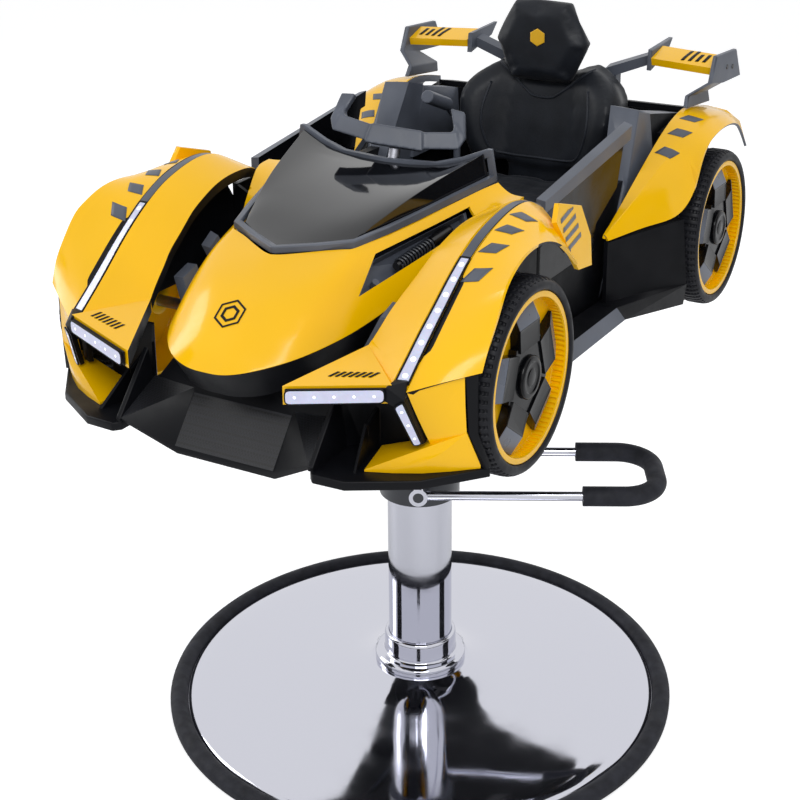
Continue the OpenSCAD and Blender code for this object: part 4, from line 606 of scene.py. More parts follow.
class CHAIR_OT_pedestal(ChairOperator):
    """Chromed cover, column, collar and ram, rubber ring, pump head and the steel inside"""
    bl_idname = "chair.pedestal"
    bl_label = "Pedestal"

    def build(self, sizes):
        low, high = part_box("base_cover")
        rise = high.z - low.z
        outer = [(p.x, p.y) for p in
                 curve_through([(high.x*r, low.z + h*rise, 0) for r, h in COVER_SHARES], 6)]
        mouth = outer[-1][0] - COVER_MOUTH
        ring = outer + [(mouth, high.z), (mouth, high.z - COVER_WALL)]
        ring += [(r - COVER_WALL*COVER_SIDE, z - COVER_WALL) for r, z in reversed(outer)
                 if z - COVER_WALL > low.z + 0.0004]
        ring += [(high.x - COVER_WALL, low.z)]
        turned_piece("base_cover_chromed", ring, "chrome", "base_cover", 160, 0.0006, 2, 35)

        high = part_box("base_trim_ring")[1]
        ring = [(high.x - back, up) for back, up in RING_SECTION]
        turned_piece("base_ring_rubber", ring, "rubber", "base_trim_ring", 160, 0.0004, 1, 40)

        ring = self.pipe(*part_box("column_tube"), COLUMN_WALL)
        turned_piece("column_chromed", ring, "chrome", "column_tube", 128, 0.001, 3, 35)

        low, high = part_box("column_collar")
        foot = low.z + COLLAR_FOOT
        ring = [(COLLAR_BORE, low.z), (high.x, low.z), (high.x, foot - FOOT_BEVEL),
                (high.x - FOOT_BEVEL, foot)]
        ring += [(r, foot + up) for r, up in COLLAR_STEP] + [(r, high.z - down) for r, down in COLLAR_TOP]
        turned_piece("collar_chromed", ring, "chrome", "column_collar", 128, 0.0012, 3, 25)

        ring = self.pipe(*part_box("ram"))
        turned_piece("ram_chromed", ring, "chrome", "ram", 96, 0.001, 2, 35)

        copy_piece("pump_head_cast", "pump_head", "grey_paint", "grey_paint", edge=0.002)
        for node in ("base_plate", "base_bolts", "pump_cylinder", "mount_bolts"):
            held = frame["nodes"][node].data.materials
            held.clear()
            held.append(finish("steel"))

    @staticmethod
    def pipe(low, high, wall=None):
        """Section of a pipe that fills a box, or of a rod where it has no wall."""
        bore = high.x - wall if wall else 0
        return [(bore, low.z), (high.x, low.z), (high.x, high.z), (bore, high.z)]


class CHAIR_OT_lever(ChairOperator):
    """Bent pump lever with its rubber grip"""
    bl_idname = "chair.lever"
    bl_label = "Pump lever"

    def build(self, sizes):
        copy_piece("pump_lever_chromed", "pump_lever", "chrome", "chrome", edge=0.0012)
        copy_piece("lever_grip_rubber", "lever_grip", "rubber", "rubber", edge=0.002)


class CHAIR_OT_chassis(ChairOperator):
    """Mount plate, frame, chassis floor, tub, dashboard, arms, axles and liners"""
    bl_idname = "chair.chassis"
    bl_label = "Chassis"

    def build(self, sizes):
        copy_piece("mount_plate_painted", "mount_plate", "paint", "black_paint")
        copy_piece("support_frame_painted", "support_frame", "paint", "black_paint", edge=0.003)
        copy_piece("chassis_floor_moulded", "chassis_floor", "black", "black_plastic")
        copy_piece("tub_moulded", "cockpit_tub", ("black", "grey"), "black_plastic", edge=0.0025,
                   choose=lambda c, n: int(c.z > 0.75 and abs(c.x) > 0.172 and c.y > 0.15))
        copy_piece("dashboard_moulded", "dashboard", "black", "black_plastic", edge=0.004)
        copy_piece("suspension_arms_painted", "suspension_arms", "grey", "black_paint", edge=0.0025)
        copy_piece("arch_liners_moulded", "arch_liners", "black", "black_plastic", edge=0.0008)
        for node in ("front_axle", "rear_axle"):
            copy_piece(node + "_steel", node, "steel", "steel", edge=0.0008)
        copy_piece("side_skirts_moulded", "side_skirts", ("black", "grey"), "black_plastic", edge=0.0025,
                   choose=lambda c, n: int(c.z < 0.665 and abs(n.x) > 0.3 and c.y < 0.14))
        copy_piece("rear_deck_moulded", "rear_deck", "black", "black_plastic", edge=0.006)


# The badge: its middle before it drops onto the hood, the way that it faces, and the radius and width of its
# two rings
BADGE_PLACE, BADGE_WAY = (0, -0.486, 0.81), (0, -0.72, 0.69)
BADGE_RINGS = ((0.021, 0.0024), (0.0125, 0.0034))


class CHAIR_OT_shell(ChairOperator):
    """Hood, windshield, fenders and their trim"""
    bl_idname = "chair.shell"
    bl_label = "Shell"

    def build(self, sizes):
        hood = copy_piece("hood_moulded", "hood", ("shell", "black"), "yellow", levels=1, edge=0.001,
                          choose=lambda c, n: int(n.z < -0.3))
        copy_piece("windshield_smoked", "windshield", "glass", "gloss_black", levels=1, edge=0.0006)
        copy_piece("windshield_frame_moulded", "windshield_frame", "grey", "grey_plastic", edge=0.0016)
        for side, s in SIDES:
            front = copy_piece("front_fender_moulded_" + side, "front_fender_" + side, ("shell", "black"),
                               "yellow", levels=1, edge=0.001, choose=lambda c, n, s=s: self.lining(c, n, s))
            rear = copy_piece("rear_fender_moulded_" + side, "rear_fender_" + side, ("shell", "grey"),
                              "yellow", levels=1, edge=0.001,
                              choose=lambda c, n, s=s: int(n.x*s < -0.6 or n.z < -0.4))
            stripes("rear_fender_slashes_" + side, skin_of(rear), "grey",
                    row((0.290, 0.300, 1.0), (0, 0.044, 0), 3, s), (0.026, 0.017), 0.5*s, (-0.15*s, 0, -1))
            skin = skin_of(front)
            self.slashes("fender_slashes_" + side, skin, s)
            self.curtain("arch_curtain_" + side, skin, s)
        self.band_ends()
        marks = bmesh.new()
        for radius, width in BADGE_RINGS:
            join(marks, badge_ring(BADGE_PLACE, radius, width, BADGE_WAY))
        laid_on(marks, skin_of(hood), -Vector(BADGE_WAY), PRINT_LIFT)
        walled(piece("hood_badge", marks, "black", "black_plastic"), 0.0005)

    @staticmethod
    def lining(c, n, s):
        """1 for the black inside of a front fender, 0 for its yellow outside and its winglet."""
        winglet = c.y > -0.19 and c.x*s > 0.27
        inner_wall = n.x*s < -0.5 and c.y > -0.44
        roof = n.z < -0.3 and c.z > 0.70
        rear_edge = n.y > 0.3 and n.z < 0.15
        return int(not winglet and (inner_wall or roof or rear_edge))

    @staticmethod
    def curtain(name, skin, s):
        """A black wall inboard of a front wheel, from just above the axle up to the inside of the fender."""
        middle = Vector((s*0.236, -0.290, 0.726))
        radius, hub, reach, overlap = 0.15, 0.1, 0.20, 0.001
        farthest, rear_line = 0.183, 0.165
        bm = bmesh.new()
        made = bmesh.ops.create_circle(bm, cap_ends=True, cap_tris=True, segments=96, radius=radius,
                                       matrix=Matrix.Translation(middle) @ Matrix.Rotation(math.pi/2, 4, "Y"))
        for v in made["verts"]:
            if (v.co - middle).length > hub:
                way = (v.co - middle).normalized()
                # Past the fender's rear edge the wall runs on, up to a straight line behind the wheel
                open_reach = min(farthest, rear_line/way.y) if way.y > 0.3 else radius
                v.co = middle + way*((skin.ray_cast(middle, way, reach)[3] or open_reach) + overlap)
        bmesh.ops.bisect_plane(bm, geom=bm.verts[:] + bm.edges[:] + bm.faces[:], dist=1e-6, plane_co=middle,
                               plane_no=(0, 0, 1), clear_inner=True)
        walled(piece(name, bm, "black", "black_plastic", smooth=False), 0.002)

    @staticmethod
    def slashes(name, skin, s):
        """Rows of slanting bars printed on the nose, the fender's flank and the winglet."""
        stripes(name + "_nose", skin, "black", row((0.159, -0.526, 0.90), (0.0078, 0.0022, 0), 7, s),
                (0.0038, 0.013), 0.45, (0, 0.3, -1))
        stripes(name + "_flank", skin, "grey", row((0.286, -0.338, 0.95), (-0.001, 0.040, 0), 4, s),
                (0.024, 0.017), 0.5*s, (-0.15*s, 0, -1))
        upright = Matrix.Rotation(math.pi/2, 4, "Y")
        stripes(name + "_winglet", skin, "facet",
                [place @ upright for place in row((0.40, -0.152, 0.874), (0, 0.005, -0.0135), 4, s)],
                (0.006, 0.042), -0.2, (-s, 0, 0))

    @staticmethod
    def band_ends():
        """The grey bands in the fenders' grooves, drawn out until they nearly meet the lamps."""
        lens = [v.co for v in frame["nodes"]["led_lenses"].data.vertices]
        bm = from_node("fender_bands", quads=True)
        for _, s in SIDES:
            band = [v for v in bm.verts if v.co.x*s > 0]
            first = min(v.co.y for v in band) + 0.006
            end = [v for v in band if v.co.y < first]
            top = max((p for p in lens if p.x*s > 0), key=lambda p: p.y)
            step = (top - min((v.co for v in end), key=lambda p: (p - top).length))*0.9
            for v in end:
                v.co += step
        rounded(piece("fender_bands_moulded", bm, "grey", "grey_plastic", "fender_bands"), 0.0004, 1)


class CHAIR_OT_bumper(ChairOperator):
    """Bumper with its film-covered ramp, and the splitter"""
    bl_idname = "chair.bumper"
    bl_label = "Bumper"

    def build(self, sizes):
        copy_piece("bumper_moulded", "front_bumper", ("black", "film"), "black_plastic", edge=0.0016,
                   choose=lambda c, n: int(n.z > 0.55 and abs(c.x) < 0.139 and c.y < -0.44))
        copy_piece("splitter_moulded", "splitter", "black", "black_plastic", edge=0.002)


class CHAIR_OT_vents(ChairOperator):
    """Side vents with their dampers and springs"""
    bl_idname = "chair.vents"
    bl_label = "Side vents"

    def build(self, sizes):
        copy_piece("side_vents_moulded", "side_vents", "grey", "grey_plastic", edge=0.0008)
        copy_piece("dampers_painted", "dampers", "paint", "black_paint", edge=0.0006)
        copy_piece("springs_painted", "damper_springs", "grey_paint", "spring", levels=1, edge=0.0003,
                   crease=80)


LIP_RADIUS = 0.0013
DIODE_RADIUS, DIODE_SHAPE = 0.0024, Matrix.Diagonal((1.5, 1.5, 0.5, 1))
# How far a flat lens is sunk in its housing, how far its face stands out, and how far its middle rises more
LENS_SUNK, LENS_PROUD, LENS_CROWN = 0.0015, 0.0018, 0.0007
# The crown's edge as a share of the lens's width, the widest that counts, and the steps round a corner
LENS_EDGE, LENS_WIDEST, CORNER_STEPS = 0.16, 0.012, 5
# A lens's front looks this way, by at least this much, and has at least this share of its largest face
LAMPS_LOOK, LAMPS_LEAST, LAMPS_SHARE = Vector((0, -0.8, 0.6)), 0.2, 0.35
# The corners of two black blocks at the left fender's nose, where three lamps meet and behind the lowest lamp
LAMP_BLOCKS = (
    ((0.2318, -0.4862, 0.7290), (0.2318, -0.4862, 0.7475), (0.2335, -0.4700, 0.7500),
     (0.2480, -0.4660, 0.7500), (0.2515, -0.4775, 0.7310), (0.2405, -0.4815, 0.7225)),
    ((0.236, -0.458, 0.712), (0.249, -0.454, 0.712), (0.246, -0.444, 0.668), (0.2585, -0.439, 0.668)),
)
BLOCK_BACK = (-0.002, 0.007, -0.001)


class CHAIR_OT_lamps(ChairOperator):
    """Lamp housings, lenses and the diodes behind them"""
    bl_idname = "chair.lamps"
    bl_label = "Lamps"

    def build(self, sizes):
        copy_piece("lamp_housings_moulded", "led_housings", "black", "black_plastic", edge=0.0005)
        dots, lenses, lips = bmesh.new(), bmesh.new(), bmesh.new()
        for island in self.lenses():
            faces, outward = self.front_of(island)
            line = self.middle_line(faces)
            if len(faces) > 2:
                self.kept(lenses, island)
                edges = dict.fromkeys(e for f in faces for e in f.edges)
                for e in (e for e in edges if not set(e.link_faces) <= set(faces)):
                    tube(lips, [v.co for v in e.verts], LIP_RADIUS, 6)
            else:
                outline = self.domed(lenses, faces, outward)
                tube(lips, outline + outline[:1], LIP_RADIUS, 6)
            for p in evenly(line, sizes.led_pitch):
                bmesh.ops.create_uvsphere(dots, u_segments=16, v_segments=8, radius=DIODE_RADIUS,
                                          matrix=Matrix.Translation(p) @ facing(outward) @ DIODE_SHAPE)
        for bm in (lenses, lips):
            bmesh.ops.recalc_face_normals(bm, faces=bm.faces[:])
        rounded(piece("lamp_lenses_opal", lenses, "lens", "lens", "led_lenses"), 0.0005, 2, 40)
        piece("lamp_diodes", dots, "diode", "lens")
        piece("lamp_lips", lips, "black", "black_plastic")
        for side, s in SIDES:
            self.joint(side, s)

    @staticmethod
    def lenses():
        """The lenses, each as the list of its faces."""
        bm = from_node("led_lenses", quads=True)
        bm.normal_update()
        left = list(bm.faces)
        while left:
            island, reached = [], [left.pop(0)]
            while reached:
                f = reached.pop()
                island.append(f)
                near = [o for o in left if any(o in e.link_faces for e in f.edges)]
                left = [o for o in left if o not in near]
                reached += near
            yield island
        bm.free()

    @staticmethod
    def front_of(island):
        """The faces of a lens that look ahead and up, with the way that they look."""
        faces = [f for f in island if f.normal.dot(LAMPS_LOOK) > LAMPS_LEAST]
        smallest = max(f.calc_area() for f in faces)*LAMPS_SHARE
        faces = [f for f in faces if f.calc_area() > smallest]
        return faces, sum((f.normal for f in faces), Vector()).normalized()

    @staticmethod
    def middle_line(faces):
        """The line along the middle of a row of faces, or of one long face."""
        if len(faces) == 1:
            ends = sorted(faces[0].edges, key=lambda e: e.calc_length())[:2]
            return [(e.verts[0].co + e.verts[1].co)/2 for e in ends]
        if len(faces) == 2:
            corners = [v.co for f in faces for v in f.verts]
            a, b = max(((p, q) for p in corners for q in corners), key=lambda pq: (pq[0] - pq[1]).length)
            near = (a - b).length*0.3
            ends = [[p for p in corners if (p - e).length < near] for e in (a, b)]
            return [sum(group, Vector())/len(group) for group in (ends[0], corners, ends[1])]
        places = sorted((f.calc_center_median() for f in faces), key=lambda p: p.y)
        return [(3*places[0] - places[1])/2] + places + [(3*places[-1] - places[-2])/2]

    @staticmethod
    def kept(bm, island):
        """Copies a lens as it is."""
        made = {v: bm.verts.new(v.co) for v in dict.fromkeys(v for f in island for v in f.verts)}
        for f in island:
            bm.faces.new([made[v] for v in f.verts])

    @staticmethod
    def domed(bm, faces, outward):
        """A flat lens with round corners and a slightly raised middle. Returns its outline."""
        corners = {tuple(round(c, 6) for c in v.co): v.co.copy() for f in faces for v in f.verts}
        places = round_cornered(list(corners.values()), outward, 0.4)
        width = min((places[i] - places[i - 1]).length for i in range(0, len(places), CORNER_STEPS + 1))
        face = bm.faces.new([bm.verts.new(p - outward*LENS_SUNK) for p in places])
        made = bmesh.ops.extrude_face_region(bm, geom=[face])
        roof = next(g for g in made["geom"] if isinstance(g, bmesh.types.BMFace))
        bmesh.ops.translate(bm, vec=outward*LENS_PROUD, verts=roof.verts[:])
        bmesh.ops.inset_region(bm, faces=[roof], thickness=min(width, LENS_WIDEST)*LENS_EDGE,
                               depth=0.0, use_even_offset=True)
        bmesh.ops.translate(bm, vec=outward*LENS_CROWN, verts=roof.verts[:])
        return places

    @staticmethod
    def joint(side, s):
        """The black piece that three lamps meet at, with a web behind the lowest one."""
        bm = bmesh.new()
        for points in LAMP_BLOCKS:
            corner = bmesh.new()
            for p in map(Vector, points):
                for x, y, z in (p, p + Vector(BLOCK_BACK)):
                    corner.verts.new((s*x, y, z))
            bmesh.ops.convex_hull(corner, input=corner.verts[:])
            bmesh.ops.dissolve_limit(corner, angle_limit=math.radians(2), verts=corner.verts[:],
                                     edges=corner.edges[:])
            bmesh.ops.recalc_face_normals(corner, faces=corner.faces[:])
            join(bm, corner)
        rounded(piece("lamp_joint_" + side, bm, "black", "black_plastic"), 0.0008)


def round_cornered(points, outward, share):
    """The outline of a flat convex shape, with each corner turned to an arc over a share of a side."""
    middle = sum(points, Vector())/len(points)
    side = (points[0] - middle).normalized()
    other = outward.cross(side)
    points = sorted(points, key=lambda p: math.atan2((p - middle).dot(other), (p - middle).dot(side)))
    short = min((a - b).length for a, b in zip(points, points[1:] + points[:1]))
    out = []
    for a, b, c in zip(points[-1:] + points[:-1], points, points[1:] + points[:1]):
        start, end = b + (a - b).normalized()*short*share, b + (c - b).normalized()*short*share
        for k in range(CORNER_STEPS + 1):
            t = k/CORNER_STEPS
            out.append(start*(1 - t)**2 + b*2*t*(1 - t) + end*t*t)
    return out


def evenly(points, pitch):
    """Places spaced evenly along a line of points, half a pitch in from its ends."""
    lengths = [(b - a).length for a, b in zip(points, points[1:])]
    total = sum(lengths)
    count = max(2, round(total/pitch))
    for k in range(count):
        rest = (k + 0.5)*total/count
        for a, b, length in zip(points, points[1:], lengths):
            if rest <= length or b is points[-1]:
                yield a.lerp(b, min(1, rest/max(length, 1e-9)))
                break
            rest -= length


SCREW_RADIUS, SCREW_TOP_RADIUS, SCREW_HEIGHT = 0.0042, 0.0036, 0.0016
SCREW_PLACES = ((0.2854, 0.510, 0.944), (0.2854, 0.538, 0.940))


class CHAIR_OT_wings(ChairOperator):
    """Rear wing blades and the plates that carry them"""
    bl_idname = "chair.wings"
    bl_label = "Rear wings"

    def build(self, sizes):
        blades = copy_piece("wing_blades_moulded", "wing_blades", "shell", "yellow", edge=0.003)
        places = [place for _, s in SIDES for place in row((0.224, 0.490, 1.0), (0.012, 0, 0), 4, s)]
        stripes("wing_slashes", skin_of(blades), "black", places, (0.0055, 0.034), 0.15, (0, 0, -1))
        copy_piece("wing_plates_moulded", "wing_plates", "grey", "grey_plastic", edge=0.0022)
        screws = bmesh.new()
        for _, s in SIDES:
            for x, y, z in SCREW_PLACES:
                bmesh.ops.create_cone(screws, cap_ends=True, segments=24, radius1=SCREW_RADIUS,
                                      radius2=SCREW_TOP_RADIUS, depth=SCREW_HEIGHT,
                                      matrix=Matrix.Translation((s*x, y, z)) @ facing((s, 0, 0)))
        piece("wing_screws", screws, "paint", "grey_plastic", smooth=False)


class CHAIR_OT_doors(ChairOperator):
    """Doors with their grey top rails"""
    bl_idname = "chair.doors"
    bl_label = "Doors"

    def build(self, sizes):
        for side, _ in SIDES:
            copy_piece("door_moulded_" + side, "door_" + side, ("gloss_black", "grey"), "gloss_black",
                       edge=0.002, choose=self.rail)

    @staticmethod
    def rail(c, n):
        """1 for the rail, which is what lies above the panel's slanting top."""
        top, front, slope = 0.838, -0.078, 0.13
        return int(c.z > top + (c.y - front)*slope)


class CHAIR_OT_steering(ChairOperator):
    """Steering yoke on its shaft, and the side lever"""
    bl_idname = "chair.steering"
    bl_label = "Steering"

    def build(self, sizes):
        self.moulded("yoke_moulded", "steering_yoke")
        copy_piece("steering_shaft_steel", "steering_shaft", "steel", "steel", edge=0.0008)
        self.moulded("side_lever_moulded", "side_lever")

    @staticmethod
    def moulded(name, node):
        """A thick moulding whose blocks are melted into each other."""
        made = piece(name, from_node(node), "grey", "grey_plastic", node)
        melted(made, 0.0016)
        softened(made, 6)


# Sections about the wheel's axis, as radius and place along it, with the outside towards +X
TYRE_HALF = ((0.1081, 0.0345), (0.1094, 0.0384), (0.1115, 0.0396), (0.1150, 0.0400), (0.1185, 0.0392),
             (0.1212, 0.0372), (0.1233, 0.0335), (0.1246, 0.0290), (0.1250, 0.0240), (0.1250, 0.0058),
             (0.1236, 0.0046), (0.1236, 0.0014))
RIM_SECTION = ((0.1080, 0.0362), (0.1074, 0.0368), (0.1006, 0.0368), (0.1000, 0.0362), (0.1000, 0.0335),
               (0.1000, 0.0204), (0.0994, 0.0190), (0.0600, 0.0189), (0.0168, 0.0189), (0.0168, 0.0160),
               (0.00805, 0.0160), (0.00805, -0.0368), (0.0200, -0.0368), (0.0200, 0.0149),
               (0.1040, 0.0149), (0.1040, -0.0368), (0.1080, -0.0368))
WEB_SECTION = ((0.0562, 0.0202), (0.0562, 0.0312), (0.0176, 0.0312), (0.0176, 0.0202))
CAP_SECTION = ((0, 0.0304), (0.0275, 0.0304), (0.0281, 0.0345), (0.0262, 0.0370), (0.0205, 0.0376),
               (0.0192, 0.0360), (0.0120, 0.0356), (0.0110, 0.0368), (0, 0.0370))
# An arm of the cover: radius, its two edges across, and how far out its face is. Then its back, the number of
# arms, and the edge and depth of the field sunk in each
ARM_STATIONS = ((0.0389, -0.0265, 0.0265, 0.0340), (0.0540, -0.0279, 0.0262, 0.0340),
                (0.0691, -0.0292, 0.0259, 0.0340), (0.0945, -0.0313, 0.0216, 0.0240))
ARM_BACK, ARMS, FIELD_EDGE, FIELD_DEPTH = 0.0192, 5, 0.0034, 0.0014
# Where grooves and teeth are sunk, as radii and places along the axis, and the land left round each
TREAD_BAND, GROOVE_LAND = ((0.1205, 0.1300), (0.0060, 0.0380)), 0.0007
TOOTH_BAND, TOOTH_LAND = ((0.0997, 0.1001), (0.021, 0.033)), 0.0003
TEETH, TOOTH_DEPTH = 90, 0.0026


class CHAIR_OT_wheels(ChairOperator):
    """Tyres with their tread, rims with their teeth and the five-armed covers"""
    bl_idname = "chair.wheels"
    bl_label = "Wheels"

    def build(self, sizes):
        for wheel in WHEELS:
            place = next(j["pos_m"] for j in frame["joints"] if j["name"] == f"wheel_{wheel}_spin")
            for name, bm, looks, slot, node, edge in (
                    ("tyre_grooved_", self.tyre(sizes), "tyre", "tyre", "tyre_", 0.0006),
                    ("rim_toothed_", self.rim(), "shell", "yellow", "rim_", 0.0005),
                    ("wheel_cover_five_", self.cover(), ("gloss_black", "facet"), "gloss_black",
                     "wheel_cover_", 0.0008)):
                if "right" in wheel:
                    turned(bm, math.pi, "Z")
                bmesh.ops.translate(bm, vec=place, verts=bm.verts[:])
                rounded(piece(name + wheel, bm, looks, slot, node + wheel), edge, 1, 32)

    @staticmethod
    def sunk(bm, band, steps, land, depth):
        """Sinks every second face round a turned mesh, in a band of radii and of places along the axis."""
        (near, far), (inner, outer) = band
        bm.normal_update()
        chosen = []
        for f in bm.faces:
            x, y, z = f.calc_center_median()
            step = int(math.atan2(z, y) % (2*math.pi)/(2*math.pi)*steps)
            if near < math.hypot(y, z) < far and inner < abs(x) < outer and step % 2:
                chosen.append(f)
        bmesh.ops.inset_individual(bm, faces=chosen, thickness=land, depth=-depth, use_even_offset=True)
        return bm

    @staticmethod
    def tyre(sizes):
        ring = TYRE_HALF + tuple((r, -a) for r, a in reversed(TYRE_HALF))
        steps = sizes.grooves*2
        bm = turned_mesh(ring, steps, "X")
        return CHAIR_OT_wheels.sunk(bm, TREAD_BAND, steps, GROOVE_LAND, sizes.tread)

    @staticmethod
    def rim():
        """A lip, a toothed wall, a flat dish and a hub."""
        bm = turned_mesh(RIM_SECTION, TEETH*2, "X")
        return CHAIR_OT_wheels.sunk(bm, TOOTH_BAND, TEETH*2, TOOTH_LAND, TOOTH_DEPTH)

    @staticmethod
    def cover():
        """Five arms that widen towards the rim and end in a slanting facet with a painted highlight, on a web
        with a cap.
        """
        bm = bmesh.new()
        for k in range(ARMS):
            arm = bmesh.new()
            low = [[arm.verts.new((ARM_BACK, t, r)) for t in (a, b)] for r, a, b, _ in ARM_STATIONS]
            top = [[arm.verts.new((x, t, r)) for t in (a, b)] for r, a, b, x in ARM_STATIONS]
            faces = []
            for i in range(len(ARM_STATIONS) - 1):
                faces.append(arm.faces.new((top[i][0], top[i + 1][0], top[i + 1][1], top[i][1])))
                arm.faces.new((low[i][0], low[i][1], low[i + 1][1], low[i + 1][0]))
                for side in (0, 1):
                    arm.faces.new((low[i][side], low[i + 1][side], top[i + 1][side], top[i][side]))
            for i in (0, -1):
                arm.faces.new((low[i][0], top[i][0], top[i][1], low[i][1]))
            # The slanting end facet takes the lighter grey: a painted highlight where light catches it
            faces[-1].material_index = 1
            bmesh.ops.recalc_face_normals(arm, faces=arm.faces[:])
            bmesh.ops.inset_region(arm, faces=faces[:2], thickness=FIELD_EDGE, depth=-FIELD_DEPTH,
                                   use_even_offset=True)
            turned(arm, k*2*math.pi/ARMS, "X")
            join(bm, arm)
        web = turned_mesh(WEB_SECTION, ARMS, "X")
        turned(web, math.pi, "X")
        join(bm, web)
        join(bm, turned_mesh(CAP_SECTION, 60, "X"))
        return bm


def turned(bm, angle, axis):
    """Turns a mesh about an axis through the origin."""
    bmesh.ops.rotate(bm, cent=(0, 0, 0), matrix=Matrix.Rotation(angle, 3, axis), verts=bm.verts[:])


# The sewn welts on the seat's back, as x and height over the car's own zero
WELTS = (
    ((-0.084, 0.352), (-0.060, 0.334), (-0.030, 0.310), (-0.014, 0.302), (0.014, 0.302), (0.030, 0.310),
     (0.060, 0.334), (0.084, 0.352)),
    ((-0.088, 0.322), (-0.096, 0.280), (-0.092, 0.240), (-0.070, 0.206), (0.0, 0.202), (0.070, 0.206),
     (0.092, 0.240), (0.096, 0.280), (0.088, 0.322)),
)
CAR_ZERO, IN_FRONT, SEWN_LIFT = 0.580, 0.330, 0.0004
PATCH_PLACE, PATCH_RADIUS, PATCH_WIDTH = (0, 0.36, 0.985), 0.0145, 0.0080
# The cushion's sewn channels: their places and half width as shares of its length, and their depth. They end
# at a distance from the middle, fade out before it, and lie within a band under the cushion's top
CHANNELS, CHANNEL_HALF, CHANNEL_DEPTH = (0.22, 0.40, 0.58, 0.76), 0.022, 0.0032
CHANNEL_END, CHANNEL_FADE, TOP_BAND = 0.085, 0.02, 0.022


class CHAIR_OT_seat(ChairOperator):
    """Cushion, back and headrest, swollen like stuffed pads, with welts and sewn channels"""
    bl_idname = "chair.seat"
    bl_label = "Seat"

    def build(self, sizes):
        pad("seat_cushion_pad", "seat_cushion", 0.005, sizes.puff*0.8, self.channels)
        back = pad("seat_back_pad", "seat_back", 0.006, sizes.puff)
        head = pad("headrest_pad", "headrest", 0.004, sizes.puff*0.8)
        skin = skin_of(back)
        welts = bmesh.new()
        for line in WELTS:
            points = []
            for p in curve_through([(x, IN_FRONT, z + CAR_ZERO) for x, z in line], 6):
                hit, normal, _, _ = skin.ray_cast(p, Vector((0, 1, 0)))
                if hit:
                    points.append(hit + normal*SEWN_LIFT)
            tube(welts, points, sizes.piping/2, 10)
        piece("seat_welts", welts, "welt", "leather")
        patch = badge_ring(PATCH_PLACE, PATCH_RADIUS, PATCH_WIDTH, (0, -1, 0))
        laid_on(patch, skin_of(head), (0, 1, 0), SEWN_LIFT)
        walled(piece("headrest_patch", patch, "thread", "leather"), 0.0008)

    @staticmethod
    def channels(co, low, high):
        """Depth of the cushion's sewn channels at a point of its top."""
        if co.z <= high.z - TOP_BAND:
            return 0.0
        t = (co.y - low.y)/(high.y - low.y)
        depth = max(0.0, *(1 - abs(t - line)/CHANNEL_HALF for line in CHANNELS))
        return CHANNEL_DEPTH*depth*clamped((CHANNEL_END - abs(co.x))/CHANNEL_FADE)


def clamped(value):
    return min(1.0, max(0.0, value))


def stuffed(made, frames=16):
    """The places of an object's points after a short simulation of its swelling, which is then taken off."""
    scene = bpy.context.scene
    cloth = made.modifiers.new("stuffing", "CLOTH")
    cloth.settings.use_pressure = True
    cloth.settings.uniform_pressure_force = 4.0
    cloth.settings.effector_weights.gravity = 0.0
    cloth.settings.quality = 4
    cloth.point_cache.frame_start, cloth.point_cache.frame_end = 1, frames
    for step in range(1, frames + 1):
        scene.frame_set(step)
    held = made.evaluated_get(bpy.context.evaluated_depsgraph_get()).to_mesh()
    swollen = [v.co.copy() for v in held.vertices]
    made.modifiers.clear()
    scene.frame_set(1)
    return swollen


def pad(name, node, voxel, cap, channels=None):
    """A packed soft solid, remeshed, swollen under pressure by up to cap, and smoothed.

    The cushion stays down on its foot, and a pad that stands stays flat against its back.
    """
    foot, back, back_fade = 0.012, 0.004, 0.02
    bm = from_node(node)
    bmesh.ops.triangulate(bm, faces=bm.faces[:])
    made = linked(name, bm)
    melted(made, voxel)
    bpy.context.view_layer.update()
    made.data = bpy.data.meshes.new_from_object(made.evaluated_get(bpy.context.evaluated_depsgraph_get()))
    made.modifiers.clear()
    low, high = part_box(node)
    rest = [v.co.copy() for v in made.data.vertices]
    swollen = stuffed(made)
    for v, p, q in zip(made.data.vertices, rest, swollen):
        move = q - p
        if move.length > cap:
            move = move.normalized()*cap
        free = (p.z - low.z)/foot if node == "seat_cushion" else (high.y - back - p.y)/back_fade
        v.co = p + move*clamped(free)
        if channels:
            v.co.z -= channels(p, low, high)
    made.data.materials.clear()
    made.data.materials.append(finish("leather"))
    for f in made.data.polygons:
        f.use_smooth = True
    softened(made, 3)
    subdivided(made, 1)
    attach(made, body_of(node))
    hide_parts(node)
    return made


# The camera: where it looks, from which direction and how far away, and its picture in pixels
CAMERA_TARGET, CAMERA_DISTANCE = (0.0, 0.059, 0.684), 2.3
CAMERA_AZIMUTH, CAMERA_ELEVATION = math.radians(28.77), math.radians(18.97)
PICTURE, FOCAL_LENGTH, SHIFT = 800, 1523, (-38, -129)
SENSOR_MM = 36
WORLD_LIGHT, WHITE, FLOOR_GLOW = 0.55, 1.0, 0.42
# Each light: place, aim, width and length, power, and whether mirrors show it
LIGHTS = (
    ("key", (1.6, -2.6, 3.2), (0, 0, 0.7), (2.2, 1.4), 62, True),
    ("side", (-3.2, -0.6, 2.0), (0, 0, 0.7), (1.0, 2.4), 30, True),
    ("back", (0.6, 3.2, 2.6), (0, 0.2, 0.8), (2.4, 0.8), 34, False),
)
# Each dark card: place, aim, width and height
CARDS = (
    ("card_left", (-1.9, -1.5, 0.9), (0, 0, 0.5), 0.9, 2.2),
    ("card_right", (2.1, 1.0, 0.9), (0, 0, 0.5), 1.0, 2.2),
    ("card_front", (1.5, -3.4, 0.6), (0, 0, 0.4), 0.7, 1.6),
)


